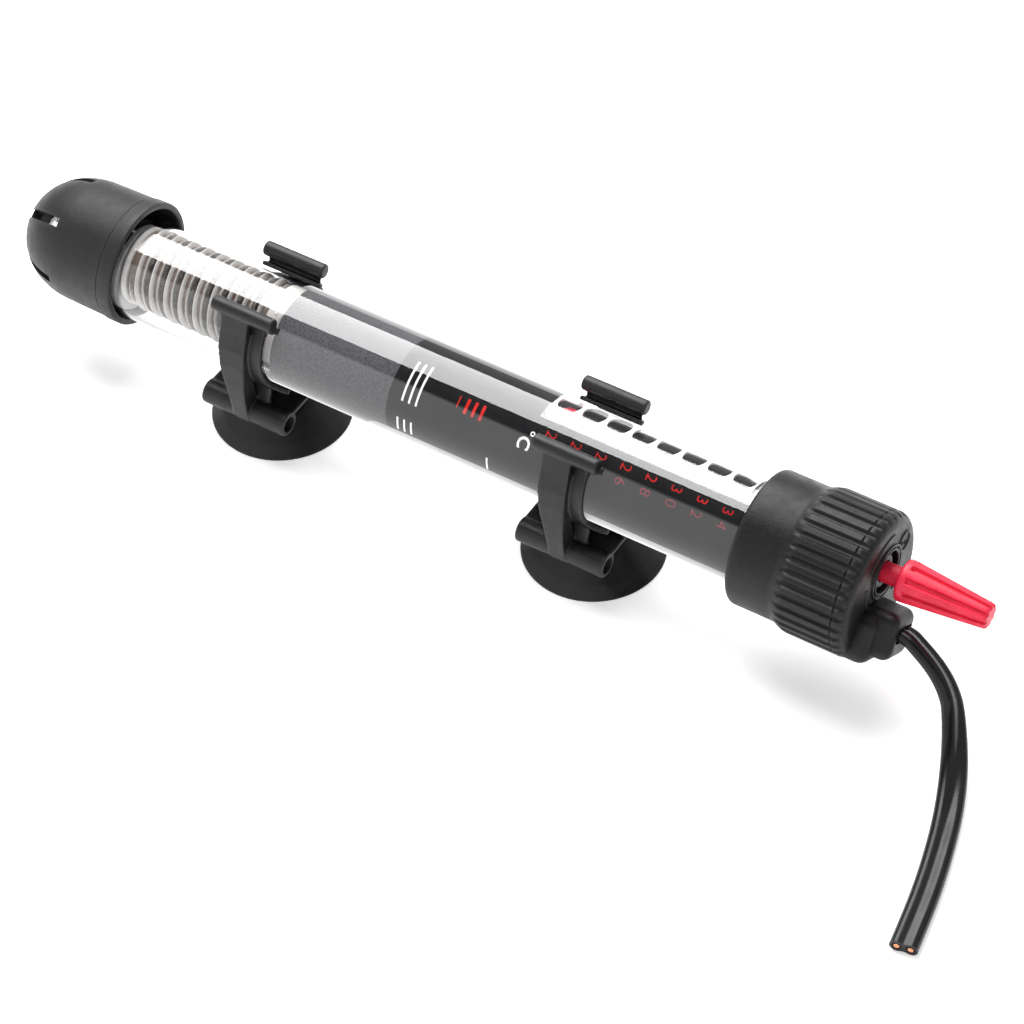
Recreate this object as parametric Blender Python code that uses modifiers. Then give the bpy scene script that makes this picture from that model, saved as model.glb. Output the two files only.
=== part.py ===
"""Submersible aquarium heater: glass tube, slotted end guard, ribbed rubber head,
adjusting knob with scale pointer, ceramic-cored heating element, bimetal
thermostat, flat mains cord and two clip brackets with suction cups.

Frame: metres, +X along the tube from the end guard to the knob, +Z from the
suction cups to the tube.  The tube's axis is the X axis and the origin is where
it meets the small flat on the end guard's dome.

Sizes are in drawing units, and x is read on the drawing's axial scale until the
last step moves the guard's tip to x = 0.  Angles are in degrees about +X, from
+Y towards +Z.  Profiles are (radius, x) points.
"""
import bpy
import bmesh
import math
from mathutils import Vector, Matrix

# ------------------------------------------------------------ shared dimensions
LENGTH = 290.0            # finished length in mm, guard tip to knob tip
TIP_X = 2.56              # guard tip
KNOB_X1 = 290.0           # knob tip
UNIT = 0.001 * LENGTH / (KNOB_X1 - TIP_X)    # metres in one drawing unit

WIN_ANGLE = 58.0          # middle of the scale strip
WIN_X0 = 169.4            # first window
WIN_PITCH = 7.29
WIN_N = 8
TILT = WIN_ANGLE - 90.0   # turns +Z onto the middle of the strip

HEAD_X1 = 261.3           # head: face at the knob end
BOOT_X1 = 270.5           # cord boot: end face

SPINDLE_OFF = 4.41        # spindle axis, distance from the tube's axis
CORD_OFF = 8.6            # cord axis, distance from the tube's axis
CORD_W = 7.2
CORD_T = 3.7
CORD_CORE_OFF = 1.75      # each copper core, distance from the cord's axis

# ------------------------------------------------------------ scene
for ob in list(bpy.data.objects):
    bpy.data.objects.remove(ob, do_unlink=True)

PARTS = bpy.data.collections.new("submersible_aquarium_heater")
CUTTERS = bpy.data.collections.new("cutters")
bpy.context.scene.collection.children.link(PARTS)
bpy.context.scene.collection.children.link(CUTTERS)


# ------------------------------------------------------------ points and outlines
def polar(radius, degrees):
    a = math.radians(degrees)
    return (radius * math.cos(a), radius * math.sin(a))


def arc(radius, a0, a1, n):
    return [polar(radius, a0 + (a1 - a0) * i / n) for i in range(n + 1)]


def ring_sector(inner, outer, a0, a1, n):
    return arc(outer, a0, a1, n) + arc(inner, a1, a0, n)


def span(half, centre=0.0):
    return (centre - half, centre + half)


def tilted_point(x, y, z):
    """A point given in the frame turned so that +Z meets the strip's middle."""
    a = math.radians(TILT)
    return (x, y * math.cos(a) - z * math.sin(a), y * math.sin(a) + z * math.cos(a))


SPINDLE_YZ = polar(SPINDLE_OFF, WIN_ANGLE)
CORD_YZ = polar(CORD_OFF, WIN_ANGLE + 180.0)
ACROSS = Vector((0.0,) + polar(1.0, WIN_ANGLE + 90.0))   # along the cord's width, at the head


def cord_core_axis(side):
    """A point on the axis of the live (-1) or neutral (1) core, at the head."""
    return Vector((0.0,) + CORD_YZ) + ACROSS * (side * CORD_CORE_OFF)


LIVE = cord_core_axis(-1)
NEUTRAL = cord_core_axis(1)


# ------------------------------------------------------------ solids
def link(ob):
    PARTS.objects.link(ob)
    return ob


def from_bmesh(name, bm):
    mesh = bpy.data.meshes.new(name)
    bm.to_mesh(mesh)
    bm.free()
    return link(bpy.data.objects.new(name, mesh))


def place(ob, name, material, sharp_angle=35.0):
    """Give a finished piece its name, material and shading."""
    ob.name = name
    ob.data.name = name
    ob.data.materials.append(material)
    ob.data.shade_smooth()
    ob.data.set_sharp_from_angle(angle=math.radians(sharp_angle))
    return ob


def lathe(profile, steps, closed=False, gap=-1):
    """Screw a (radius, z) profile about the local Z axis. Unless it is closed, the
    edge that starts at point number gap is left out."""
    bm = bmesh.new()
    verts = [bm.verts.new((radius * UNIT, 0.0, z * UNIT)) for radius, z in profile]
    count = len(verts)
    for i in range(count):
        if closed or i != gap % count:
            bm.edges.new((verts[i], verts[(i + 1) % count]))
    ob = from_bmesh("turned", bm)
    screw = ob.modifiers.new("screw", 'SCREW')
    screw.axis = 'Z'
    screw.angle = 2.0 * math.pi
    screw.steps = steps
    screw.render_steps = steps
    screw.use_merge_vertices = True
    screw.merge_threshold = 0.00001
    screw.use_normal_calculate = False
    screw.use_smooth_shade = True
    return ob


# Local frame of turned and extruded pieces: local Z runs along world +X.
TURN = Matrix(((0, 0, 1, 0), (1, 0, 0, 0), (0, 1, 0, 0), (0, 0, 0, 1)))


def along_x(ob, x=0.0, y=0.0, z=0.0):
    ob.matrix_world = Matrix.Translation((x * UNIT, y * UNIT, z * UNIT)) @ TURN
    return ob


def turned(profile, steps, y=0.0, z=0.0, closed=False, gap=-1):
    """A (radius, x) profile turned about the line along X through (y, z)."""
    return along_x(lathe(profile, steps, closed, gap), y=y, z=z)


def rod(xs, radius, steps, y=0.0, z=0.0):
    x0, x1 = xs
    return turned([(0.0, x1), (radius, x1), (radius, x0), (0.0, x0)], steps, y, z)


def ring(xs, outer, inner, steps, y=0.0, z=0.0):
    x0, x1 = xs
    return turned([(outer, x1), (outer, x0), (inner, x0), (inner, x1)], steps, y, z, closed=True)


def evaluated_mesh(ob):
    bpy.context.view_layer.update()
    depsgraph = bpy.context.evaluated_depsgraph_get()
    return bpy.data.meshes.new_from_object(ob.evaluated_get(depsgraph))


def baked(ob):
    """The object's evaluated shape as a plain mesh object in the same place."""
    mesh = evaluated_mesh(ob)
    bm = bmesh.new()
    bm.from_mesh(mesh)
    bpy.data.meshes.remove(mesh)
    bmesh.ops.remove_doubles(bm, verts=bm.verts, dist=0.000002)
    bmesh.ops.recalc_face_normals(bm, faces=bm.faces)
    solid = from_bmesh(ob.name, bm)
    solid.matrix_world = ob.matrix_world.copy()
    bpy.data.objects.remove(ob, do_unlink=True)
    return solid


def joined(objs):
    """Several solids in one object, for use as one cutter."""
    bm = bmesh.new()
    for ob in objs:
        mesh = evaluated_mesh(ob)
        mesh.transform(ob.matrix_world)
        bm.from_mesh(mesh)
        bpy.data.meshes.remove(mesh)
    for ob in objs:
        bpy.data.objects.remove(ob, do_unlink=True)
    return from_bmesh("joined", bm)


def poly_curve(name, dimensions, points):
    curve = bpy.data.curves.new(name, 'CURVE')
    curve.dimensions = dimensions
    curve.render_resolution_u = 0
    spline = curve.splines.new('POLY')
    spline.points.add(len(points) - 1)
    for point, (x, y, z) in zip(spline.points, points):
        point.co = (x * UNIT, y * UNIT, z * UNIT, 1.0)
    return curve


def outline(points, xs):
    """A flat (y, z) outline extruded along X."""
    x0, x1 = xs
    curve = poly_curve("outline", '2D', [(y, z, 0.0) for y, z in points])
    curve.fill_mode = 'BOTH'
    curve.extrude = 0.5 * (x1 - x0) * UNIT
    curve.splines[0].use_cyclic_u = True
    ob = link(bpy.data.objects.new("outline", curve))
    return baked(along_x(ob, x=0.5 * (x0 + x1)))


def wire(points, radius, resolution=2):
    """A round wire through (x, y, z) points."""
    curve = poly_curve("wire", '3D', points)
    curve.bevel_depth = radius * UNIT
    curve.bevel_resolution = resolution
    curve.use_fill_caps = True
    return baked(link(bpy.data.objects.new("wire", curve)))


def box(xs, ys, zs, turn=0.0, bevel=0.0, segments=2):
    """A box given by its spans in a frame turned about the X axis."""
    spans = (xs, ys, zs)
    bm = bmesh.new()
    bmesh.ops.create_cube(bm, size=1.0)
    size = Vector([(b - a) * UNIT for a, b in spans])
    bmesh.ops.scale(bm, vec=size, verts=bm.verts)
    centre = Vector([0.5 * (a + b) * UNIT for a, b in spans])
    bmesh.ops.translate(bm, vec=centre, verts=bm.verts)
    ob = from_bmesh("box", bm)
    ob.rotation_euler = (math.radians(turn), 0.0, 0.0)
    if bevel > 0.0:
        modifier = ob.modifiers.new("bevel", 'BEVEL')
        modifier.width = bevel * UNIT
        modifier.segments = segments
        modifier.limit_method = 'ANGLE'
    return ob


def tilted(xs, half_width, zs, bevel=0.0, segments=2):
    """A box centred across the frame whose +Z meets the strip's middle."""
    return box(xs, span(half_width), zs, TILT, bevel, segments)


def cylinder(name, x, zs, radius, segments, turn=0.0):
    """A cylinder along Z at x, in a frame turned about the X axis."""
    z0, z1 = zs
    bm = bmesh.new()
    bmesh.ops.create_cone(bm, cap_ends=True, segments=segments, radius1=radius * UNIT,
                          radius2=radius * UNIT, depth=(z1 - z0) * UNIT)
    bmesh.ops.translate(bm, vec=(x * UNIT, 0, 0.5 * (z0 + z1) * UNIT), verts=bm.verts)
    ob = from_bmesh(name, bm)
    ob.rotation_euler = (math.radians(turn), 0.0, 0.0)
    return ob


def loft(rings):
    """A capped skin over rings of points, all of the same length."""
    bm = bmesh.new()
    rings = [[bm.verts.new(point * UNIT) for point in points] for points in rings]
    count = len(rings[0])
    for low, high in zip(rings, rings[1:]):
        for i in range(count):
            j = (i + 1) % count
            bm.faces.new((low[i], low[j], high[j], high[i]))
    bm.faces.new(rings[0][::-1])
    bm.faces.new(rings[-1])
    bmesh.ops.recalc_face_normals(bm, faces=bm.faces)
    return from_bmesh("loft", bm)


def swept(path, section):
    """Loft a closed (side, up) section along (point, side, up) stations."""
    return loft([[point + side * a + up * b for a, b in section] for point, side, up in path])


def boolean(ob, other, operation):
    modifier = ob.modifiers.new(operation.lower(), 'BOOLEAN')
    modifier.operation = operation
    modifier.solver = 'EXACT'
    other.hide_render = True
    other.display_type = 'WIRE'
    PARTS.objects.unlink(other)
    CUTTERS.objects.link(other)
    modifier.object = other


def cut(ob, other):
    boolean(ob, other, 'DIFFERENCE')


def add(ob, other):
    boolean(ob, other, 'UNION')


# ------------------------------------------------------------ materials
def material(name, rgb, roughness, metallic=0.0, alpha=1.0, transmission=0.0):
    mat = bpy.data.materials.new(name)
    mat.use_nodes = True
    inputs = mat.node_tree.nodes["Principled BSDF"].inputs
    inputs["Base Color"].default_value = (*rgb, 1.0)
    inputs["Roughness"].default_value = roughness
    inputs["Metallic"].default_value = metallic
    inputs["Alpha"].default_value = alpha
    inputs["Transmission Weight"].default_value = transmission
    mat.diffuse_color = (*rgb, alpha)
    return mat


M_GUARD = material("guard_plastic", rgb=(0.040, 0.040, 0.044), roughness=0.62)
M_HEAD = material("head_rubber", rgb=(0.026, 0.026, 0.028), roughness=0.66)
M_GLASS = material("tube_glass", rgb=(0.96, 0.98, 1.0), roughness=0.02, alpha=0.35,
                   transmission=0.9)
M_CLIP = material("clip_plastic", rgb=(0.034, 0.034, 0.037), roughness=0.50)
M_CUP = material("cup_rubber", rgb=(0.014, 0.014, 0.016), roughness=0.42)
M_RED = material("red_plastic", rgb=(0.78, 0.012, 0.055), roughness=0.34)
M_WHITE = material("white_strip", rgb=(0.86, 0.86, 0.87), roughness=0.45)
M_LINER = material("grey_liner", rgb=(0.13, 0.13, 0.14), roughness=0.55)
M_SLEEVE = material("dark_sleeve", rgb=(0.020, 0.020, 0.022), roughness=0.50)
M_CERAMIC = material("white_ceramic", rgb=(0.78, 0.76, 0.72), roughness=0.75)
M_COIL = material("resistance_wire", rgb=(0.20, 0.15, 0.12), roughness=0.45, metallic=0.9)
M_BRASS = material("brass", rgb=(0.72, 0.52, 0.24), roughness=0.30, metallic=1.0)
M_STEEL = material("spring_steel", rgb=(0.60, 0.60, 0.62), roughness=0.28, metallic=1.0)
M_COPPER = material("copper", rgb=(0.85, 0.42, 0.25), roughness=0.30, metallic=1.0)
M_BOARD = material("phenolic_board", rgb=(0.33, 0.17, 0.08), roughness=0.60)
M_MAGNET = material("magnet", rgb=(0.12, 0.12, 0.13), roughness=0.50, metallic=0.3)
M_SEAL = material("seal_rubber", rgb=(0.030, 0.030, 0.030), roughness=0.60)
M_CORD = material("cord_pvc", rgb=(0.012, 0.012, 0.013), roughness=0.28)
M_WIRE = material("lead_insulation", rgb=(0.85, 0.85, 0.83), roughness=0.50)
M_LAMP = material("lamp_glass", rgb=(0.95, 0.45, 0.25), roughness=0.08, alpha=0.6,
                  transmission=0.4)
M_FRAME = material("frame_plastic", rgb=(0.10, 0.10, 0.11), roughness=0.55)
M_MICA = material("mica", rgb=(0.45, 0.45, 0.46), roughness=0.40)

# ------------------------------------------------------------ glass tube
TUBE_R = 13.56
TUBE_WALL = 1.20
TUBE_X0 = 8.0             # closed round end
TUBE_X1 = 247.0           # open end, inside the head
TUBE_END_STEPS = 5


def glass_tube():
    centre = TUBE_X0 + TUBE_R
    bore = TUBE_R - TUBE_WALL

    def round_end(radius, a0, a1):
        return [(r, centre - depth) for r, depth in arc(radius, a0, a1, TUBE_END_STEPS)]

    outer = [(TUBE_R, TUBE_X1)] + round_end(TUBE_R, 0, 90)[:-1] + [(0.0, TUBE_X0)]
    inner = [(0.0, TUBE_X0 + TUBE_WALL)] + round_end(bore, 90, 0)[1:] + [(bore, TUBE_X1)]
    # the skins join at the tube's mouth and not along the axis
    glass = turned(outer + inner, 32, gap=len(outer) - 1)
    place(glass, "glass_tube", M_GLASS, 40)


glass_tube()

# ------------------------------------------------------------ end guard
CAP_Y, CAP_Z = 1.28, 0.98 # the loose guard sits off the tube's axis
CAP_X1 = 38.46            # rim
CAP_RIM_R = 17.4
CAP_WALL_R = 16.9         # where the dome meets the side
CAP_BORE_R = 15.6
CAP_TIP_R = 3.0           # flat on the dome
CAP_TIP_T = 2.4           # thickness at the flat
DOME_LENGTH = 19.4        # outside
DOME_BORE_LENGTH = 18.4   # inside
DOME_STEPS = 6
CAP_SLOTS = 6
CAP_SLOT_W = 2.5
CAP_SLOT_X = (-1.0, 17.9)
CAP_SLOT_RADII = (5.2, 22.0)
CAP_SLOT_ANGLE = 126.0    # first slot


def dome(x0, length, tip_r, wall_r, power, root):
    """Superellipse profile from the tip outwards, with points closer near the tip."""
    points = []
    for i in range(DOME_STEPS + 1):
        x = length * (i / DOME_STEPS) ** 2.0
        t = 1.0 - x / length
        points.append((tip_r + (wall_r - tip_r) * (1.0 - t ** power) ** root, x0 + x))
    return points


def end_guard():
    skin = dome(TIP_X, DOME_LENGTH, CAP_TIP_R, CAP_WALL_R, power=2.29, root=1.0 / 1.673)
    rim = [(CAP_RIM_R - 0.35, CAP_X1), (CAP_RIM_R, CAP_X1 - 0.5),
           (CAP_RIM_R - 0.05, CAP_X1 - 4.1), (CAP_RIM_R - 0.30, CAP_X1 - 4.5)]
    outer = rim + skin[::-1] + [(0.0, TIP_X)]
    inner = dome(TIP_X + CAP_TIP_T, DOME_BORE_LENGTH, 0.0, CAP_BORE_R, power=2.3, root=0.588)
    inner.append((CAP_BORE_R, CAP_X1))
    guard = turned(outer + inner, 32, CAP_Y, CAP_Z, gap=len(outer) - 1)
    slots = joined([box(CAP_SLOT_X, CAP_SLOT_RADII, span(0.5 * CAP_SLOT_W),
                        CAP_SLOT_ANGLE + 360.0 * k / CAP_SLOTS) for k in range(CAP_SLOTS)])
    slots.location = (0.0, CAP_Y * UNIT, CAP_Z * UNIT)
    cut(guard, slots)
    place(guard, "end_guard_cap", M_GUARD)


end_guard()

# ------------------------------------------------------------ liner, sleeve, scale strip
LINER_X0 = 88.2
SLEEVE_X0 = 124.5
SLEEVE_X1 = 234.4
LINER_RO = 12.0           # liner, sleeve and strip alike
LINER_RI = 11.45
SEAM_ANGLE = 160.0
SEAM_HALF = 1.6           # degrees
END_GAP = 0.4             # liner to sleeve, and sleeve to strip
STRIP_X0, STRIP_X1 = 165.5, 234.0
STRIP_HALF = 41.0         # degrees
STRIP_SIDE_GAP = 0.35
WIN_R = 3.1
WIN_CUT_Z = (6.0, 18.0)   # reach of the window cutters


def split_sleeve(xs):
    return outline(ring_sector(LINER_RI, LINER_RO, SEAM_ANGLE + SEAM_HALF,
                               SEAM_ANGLE + 360.0 - SEAM_HALF, 30), xs)


def strip_sector(inner, outer, half, xs):
    return outline(ring_sector(inner, outer, WIN_ANGLE - half, WIN_ANGLE + half, 8), xs)


place(split_sleeve((LINER_X0, SLEEVE_X0 - END_GAP)), "grey_liner", M_LINER)

sleeve = split_sleeve((SLEEVE_X0, SLEEVE_X1))
cut(sleeve, strip_sector(10.0, 14.0, STRIP_HALF + math.degrees(STRIP_SIDE_GAP / LINER_RO),
                         (STRIP_X0 - END_GAP, SLEEVE_X1 + 3.0)))
place(sleeve, "printed_sleeve", M_SLEEVE)

strip = strip_sector(LINER_RI, LINER_RO, STRIP_HALF, (STRIP_X0, STRIP_X1))
cut(strip, joined([cylinder("window", WIN_X0 + k * WIN_PITCH, WIN_CUT_Z, WIN_R, 12, TILT)
                   for k in range(WIN_N)]))
place(strip, "scale_strip", M_WHITE)

# ------------------------------------------------------------ heating element
CORE_Y, CORE_Z = 1.30, 1.00   # the element sits off the tube's axis
CORE_X0, CORE_X1 = 37.9, 87.4
CORE_R = 7.9
CORE_FLANGE_R = 10.3
CORE_BORE_R = 2.4
HELIX_PITCH = 4.70
HELIX_X0 = CORE_X0 + 2.9
HELIX_TURNS = (CORE_X1 - 6.6 - HELIX_X0 - 0.5 * HELIX_PITCH) / HELIX_PITCH
HELIX_STEPS = 11          # per turn
DISC_HOLE_Y, DISC_HOLE_Z = 6.5, 4.0   # the second hole is diametrically opposite
DISC_HOLE_R = 1.3
LEAD_R = 0.75

core = turned([(CORE_BORE_R, CORE_X1), (CORE_FLANGE_R, CORE_X1), (CORE_FLANGE_R, CORE_X1 - 4.6),
               (CORE_R, CORE_X1 - 4.9), (CORE_R, CORE_X0 + 1.6), (CORE_FLANGE_R, CORE_X0 + 1.4),
               (CORE_FLANGE_R, CORE_X0), (CORE_BORE_R, CORE_X0)],
              24, CORE_Y, CORE_Z, closed=True)
place(core, "ceramic_core", M_CERAMIC)


def helix(x0, radius):
    points = []
    for i in range(int(round(HELIX_TURNS * HELIX_STEPS)) + 1):
        a = 2.0 * math.pi * i / HELIX_STEPS
        points.append((x0 + HELIX_PITCH * i / HELIX_STEPS,
                       CORE_Y + radius * math.cos(a), CORE_Z + radius * math.sin(a)))
    return points


# the spacer and the coil wind between each other
spacer = wire(helix(HELIX_X0, radius=9.60), radius=0.78, resolution=0)
place(spacer, "spacer_helix", M_CERAMIC, 60)
coil = wire(helix(HELIX_X0 + 0.5 * HELIX_PITCH, radius=9.40), radius=0.90, resolution=1)
place(coil, "heating_coil", M_COIL, 60)

place(ring((36.4, 37.5), outer=11.9, inner=2.7, steps=28), "core_disc_tip", M_MICA)
disc = ring((90.0, 91.4), outer=11.1, inner=4.0, steps=28)
for side in (-1, 1):
    cut(disc, rod((88.0, 93.0), DISC_HOLE_R, 12, side * DISC_HOLE_Y, side * DISC_HOLE_Z))
place(disc, "core_disc_head", M_MICA)

# (x, y, z), across the tip end and back through the core's bore
RETURN_PATH = [(34.9, -6.0, 0.0), (34.6, -3.0, 0.0), (34.4, 0.0, 0.0), (35.4, 1.0, 0.6),
               (38.6, 1.3, 1.0), (64.0, 1.3, 1.0), (92.5, 1.3, 1.0)]
place(wire(RETURN_PATH, radius=0.7), "return_wire", M_STEEL, 60)

# ------------------------------------------------------------ thermostat
BLOCK_X = (126.0, 132.0)
BLOCK_CUT_X = (124.0, 134.0)
BLOCK_R = 10.9            # rounds the block's corners
BLADE_X0 = 123.2
# blades: name, x end, half width, z span in the tilted frame, material
BLADES = [("bimetal_strip", 160.0, 2.5, (-1.2, -0.8), M_STEEL),
          ("contact_arm", 161.8, 2.0, (2.4, 2.8), M_BRASS)]
BLADE_SIDE_GAP = 0.4      # blade to the side of its slot in the block
BLADE_FACE_GAP = 0.3
PASSAGE_Y, PASSAGE_Z = -5.6, -4.6     # wire passage in the block, tilted frame
PASSAGE_HALF = 1.4
CONTACT_X = 156.0
CONTACT_R = 1.6


def terminal_block():
    block = tilted(BLOCK_X, 8.0, span(7.4), bevel=1.0, segments=1)
    boolean(block, rod((120.0, 140.0), BLOCK_R, 40), 'INTERSECT')
    for _, _, half, (z0, z1), _ in BLADES:
        cut(block, tilted(BLOCK_CUT_X, half + BLADE_SIDE_GAP,
                          (z0 - BLADE_FACE_GAP, z1 + BLADE_FACE_GAP)))
    cut(block, box(BLOCK_CUT_X, span(PASSAGE_HALF, PASSAGE_Y), span(PASSAGE_HALF, PASSAGE_Z),
                   TILT))
    place(block, "terminal_block", M_BOARD)


terminal_block()
for name, x1, half, zs, mat in BLADES:
    place(tilted((BLADE_X0, x1), half, zs), name, mat)
for name, zs in (("bimetal_contact", (-0.6, 0.6)), ("arm_contact", (0.9, 2.1))):
    place(cylinder(name, CONTACT_X, zs, CONTACT_R, 20, TILT), name, M_BRASS)
place(tilted((146.0, 151.0), 2.5, (-6.2, -3.4), bevel=0.4, segments=1), "snap_magnet", M_MAGNET)

CARRIER_X0 = 137.6
CARRIER_HALF = 4.8
WALL_X0, WALL_X1 = 165.2, 225.4   # outer faces of the two bearing walls
WALL_HALF = 5.0
WALL_Z = (-6.9, 7.8)
BEARING_R = 2.55
DECK_Z = (8.2, 9.0)


def thermostat_carrier():
    """Long base plate, a post near the magnet and two walls with spindle bearings."""
    base = tilted((CARRIER_X0, 225.6), CARRIER_HALF, (-7.5, -6.5))
    add(base, tilted((CARRIER_X0, 139.8), CARRIER_HALF, (WALL_Z[0], 1.6)))
    add(base, tilted((WALL_X0, 166.2), WALL_HALF, WALL_Z))
    add(base, tilted((223.5, WALL_X1), WALL_HALF, WALL_Z))
    cut(base, rod((160.0, 236.0), BEARING_R, 20, *SPINDLE_YZ))
    # opening in the post for the two blades
    cut(base, tilted((136.0, 141.0), 3.0, (-1.9, 2.8)))
    place(base, "thermostat_carrier", M_FRAME)


thermostat_carrier()
deck = tilted((WALL_X0, WALL_X1), 5.6, DECK_Z)
cut(deck, tilted((166.4, 223.4), 1.9, (7.0, 10.0)))
place(deck, "pointer_deck", M_FRAME)

# the pointer nut rides on the spindle, its finger stands in the deck's slot
NUT_X = span(2.4, WIN_X0)
nut = ring(NUT_X, 3.35, 2.45, 20, *SPINDLE_YZ)
add(nut, tilted(NUT_X, 1.5, (SPINDLE_OFF + 2.75, 10.2)))
add(nut, tilted(span(2.2, WIN_X0), 3.0, (9.6, 10.6)))
place(nut, "pointer_nut", M_RED)

KNOB_TURNS = 6.0          # from the first to the last window
LEAD = (WIN_N - 1) * WIN_PITCH / KNOB_TURNS
TWIST_X0, TWIST_X1 = 167.8, 222.9
TWIST_INSET = 0.05        # journal face to the first twisted ring
TWIST_STEPS_PER_LEAD = 7
TWIST_R = 1.62            # mean radius
LOBE = 0.42               # rise of the two lobes above it
JOURNAL_R = 1.75
SHAFT_R = 1.15


def spindle_ring(x, radius, lobe=0.0, phase=0.0):
    points = []
    for i in range(8):
        a = 2.0 * math.pi * i / 8
        r = radius + lobe * math.cos(2.0 * (a - phase))
        points.append(Vector((x, r * math.cos(a), r * math.sin(a))))
    return points


def adjusting_spindle():
    """Twisted two-lobed bar between plain journals, with a thinner shaft to the knob."""
    length = TWIST_X1 - TWIST_X0
    steps = int(round(length / LEAD * TWIST_STEPS_PER_LEAD))
    rings = [spindle_ring(x, JOURNAL_R) for x in (162.4, TWIST_X0)]
    for i in range(steps + 1):
        x = TWIST_X0 + TWIST_INSET + (length - 2.0 * TWIST_INSET) * i / steps
        rings.append(spindle_ring(x, TWIST_R, LOBE, 2.0 * math.pi * length * i / steps / LEAD))
    rings += [spindle_ring(x, JOURNAL_R) for x in (TWIST_X1, 226.8)]
    rings += [spindle_ring(x, SHAFT_R) for x in (226.9, 255.6)]
    spindle = loft(rings)
    spindle.location = (0.0, SPINDLE_YZ[0] * UNIT, SPINDLE_YZ[1] * UNIT)
    place(spindle, "adjusting_spindle", M_BRASS, 50)


adjusting_spindle()

# lamp and resistor, on the guard side of the terminal block
LAMP_PROFILE = [(0.0, 119.6), (1.2, 119.4), (2.1, 118.4), (2.1, 110.0), (1.2, 109.0), (0.0, 108.8)]
RESISTOR_PROFILE = [(0.0, 119.0), (0.9, 118.8), (1.3, 118.0), (1.05, 116.9),
                    (1.05, 113.1), (1.3, 112.0), (0.9, 111.2), (0.0, 111.0)]
place(turned(LAMP_PROFILE, 16, y=-4.2, z=5.6), "indicator_lamp", M_LAMP)
place(turned(RESISTOR_PROFILE, 14, y=1.2, z=7.6), "lamp_resistor", M_BOARD)

# ------------------------------------------------------------ head
HEAD_X0 = 227.1           # collar rim
COLLAR_R = 18.1
BARREL_R = 19.4
SHOULDER_R = 3.2          # rounding of the face's edge
HEAD_BORE_R = 13.9
HEAD_FLOOR_X = 247.5      # bottom of the bore
SEAL_GROOVE_R = 15.35
SEAL_GROOVE_X0, SEAL_GROOVE_X1 = 232.0, 234.4
RIBS = 36
RIB_GROOVE_X = (242.6, 258.4)
RIB_GROOVE_DEPTH = 0.75
RIB_GROOVE_HALF = 0.62
CORD_HOLE_GAP = 0.35      # around the cord


def head_cap():
    shoulder = [(BARREL_R - SHOULDER_R + out, HEAD_X1 - SHOULDER_R + up)
                for up, out in arc(SHOULDER_R, 0, 90, 3)]
    head = turned([(0.0, HEAD_X1)] + shoulder + [
        (BARREL_R, 241.9), (COLLAR_R + 0.2, 239.6), (COLLAR_R, 238.6),
        (COLLAR_R, 228.6), (COLLAR_R - 0.45, 227.55), (COLLAR_R - 1.5, HEAD_X0),
        (HEAD_BORE_R, HEAD_X0), (HEAD_BORE_R, SEAL_GROOVE_X0),
        (SEAL_GROOVE_R, SEAL_GROOVE_X0), (SEAL_GROOVE_R, SEAL_GROOVE_X1),
        (HEAD_BORE_R, SEAL_GROOVE_X1), (HEAD_BORE_R, HEAD_FLOOR_X), (0.0, HEAD_FLOOR_X)], 36)
    cut(head, joined([box(RIB_GROOVE_X, (BARREL_R - RIB_GROOVE_DEPTH, BARREL_R + 2.0),
                          span(RIB_GROOVE_HALF), 360.0 * (k + 0.5) / RIBS)
                      for k in range(RIBS)]))
    # cord boot: a broad lump against the barrel and a narrower one beyond it
    add(head, box((250.3, 266.2), (-18.1, -4.6), span(9.1), WIN_ANGLE, bevel=3.2, segments=3))
    add(head, box((252.4, BOOT_X1), (-15.75, -2.5), span(6.4), WIN_ANGLE, bevel=2.7))
    cut(head, box((245.0, BOOT_X1 + 2.0), span(0.5 * CORD_T + CORD_HOLE_GAP, -CORD_OFF),
                  span(0.5 * CORD_W + CORD_HOLE_GAP), WIN_ANGLE, bevel=0.9))
    # stepped hole for the spindle, its bush and its seal
    cut(head, turned([(0.0, HEAD_X1 + 3), (5.7, HEAD_X1 + 3), (5.7, HEAD_X1 - 1.4),
                      (4.6, HEAD_X1 - 1.4), (4.6, 251.5), (3.2, 251.5), (3.2, 246.0),
                      (0.0, 246.0)], 24, *SPINDLE_YZ))
    place(head, "head_cap", M_HEAD)


def seal_ring(name, x, major, steps, y=0.0, z=0.0):
    """Torus of round section about a line along X."""
    minor = 0.58
    angles = [2 * math.pi * i / 8 for i in range(8)]
    points = [(major + minor * math.cos(a), x - minor * math.sin(a)) for a in angles]
    place(turned(points, steps, y, z, closed=True), name, M_SEAL, 60)


def head_seal_plug():
    """Round plug with holes for the spindle and the two cord cores."""
    hole_x = (230.0, 250.0)
    plug = rod((235.0, 246.6), 11.95, 30)
    cut(plug, rod(hole_x, 1.7, 16, *SPINDLE_YZ))
    for axis in (LIVE, NEUTRAL):
        cut(plug, rod(hole_x, 1.25, 12, axis.y, axis.z))
    place(plug, "head_seal_plug", M_SEAL)


head_cap()
seal_ring("tube_seal_ring", 233.2, 14.55, 28)
seal_ring("spindle_seal_ring", 253.2, 3.68, 18, *SPINDLE_YZ)
place(ring((254.8, HEAD_X1 - 0.5), 4.25, 3.05, 22, *SPINDLE_YZ), "spindle_bush", M_HEAD)
head_seal_plug()

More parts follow.
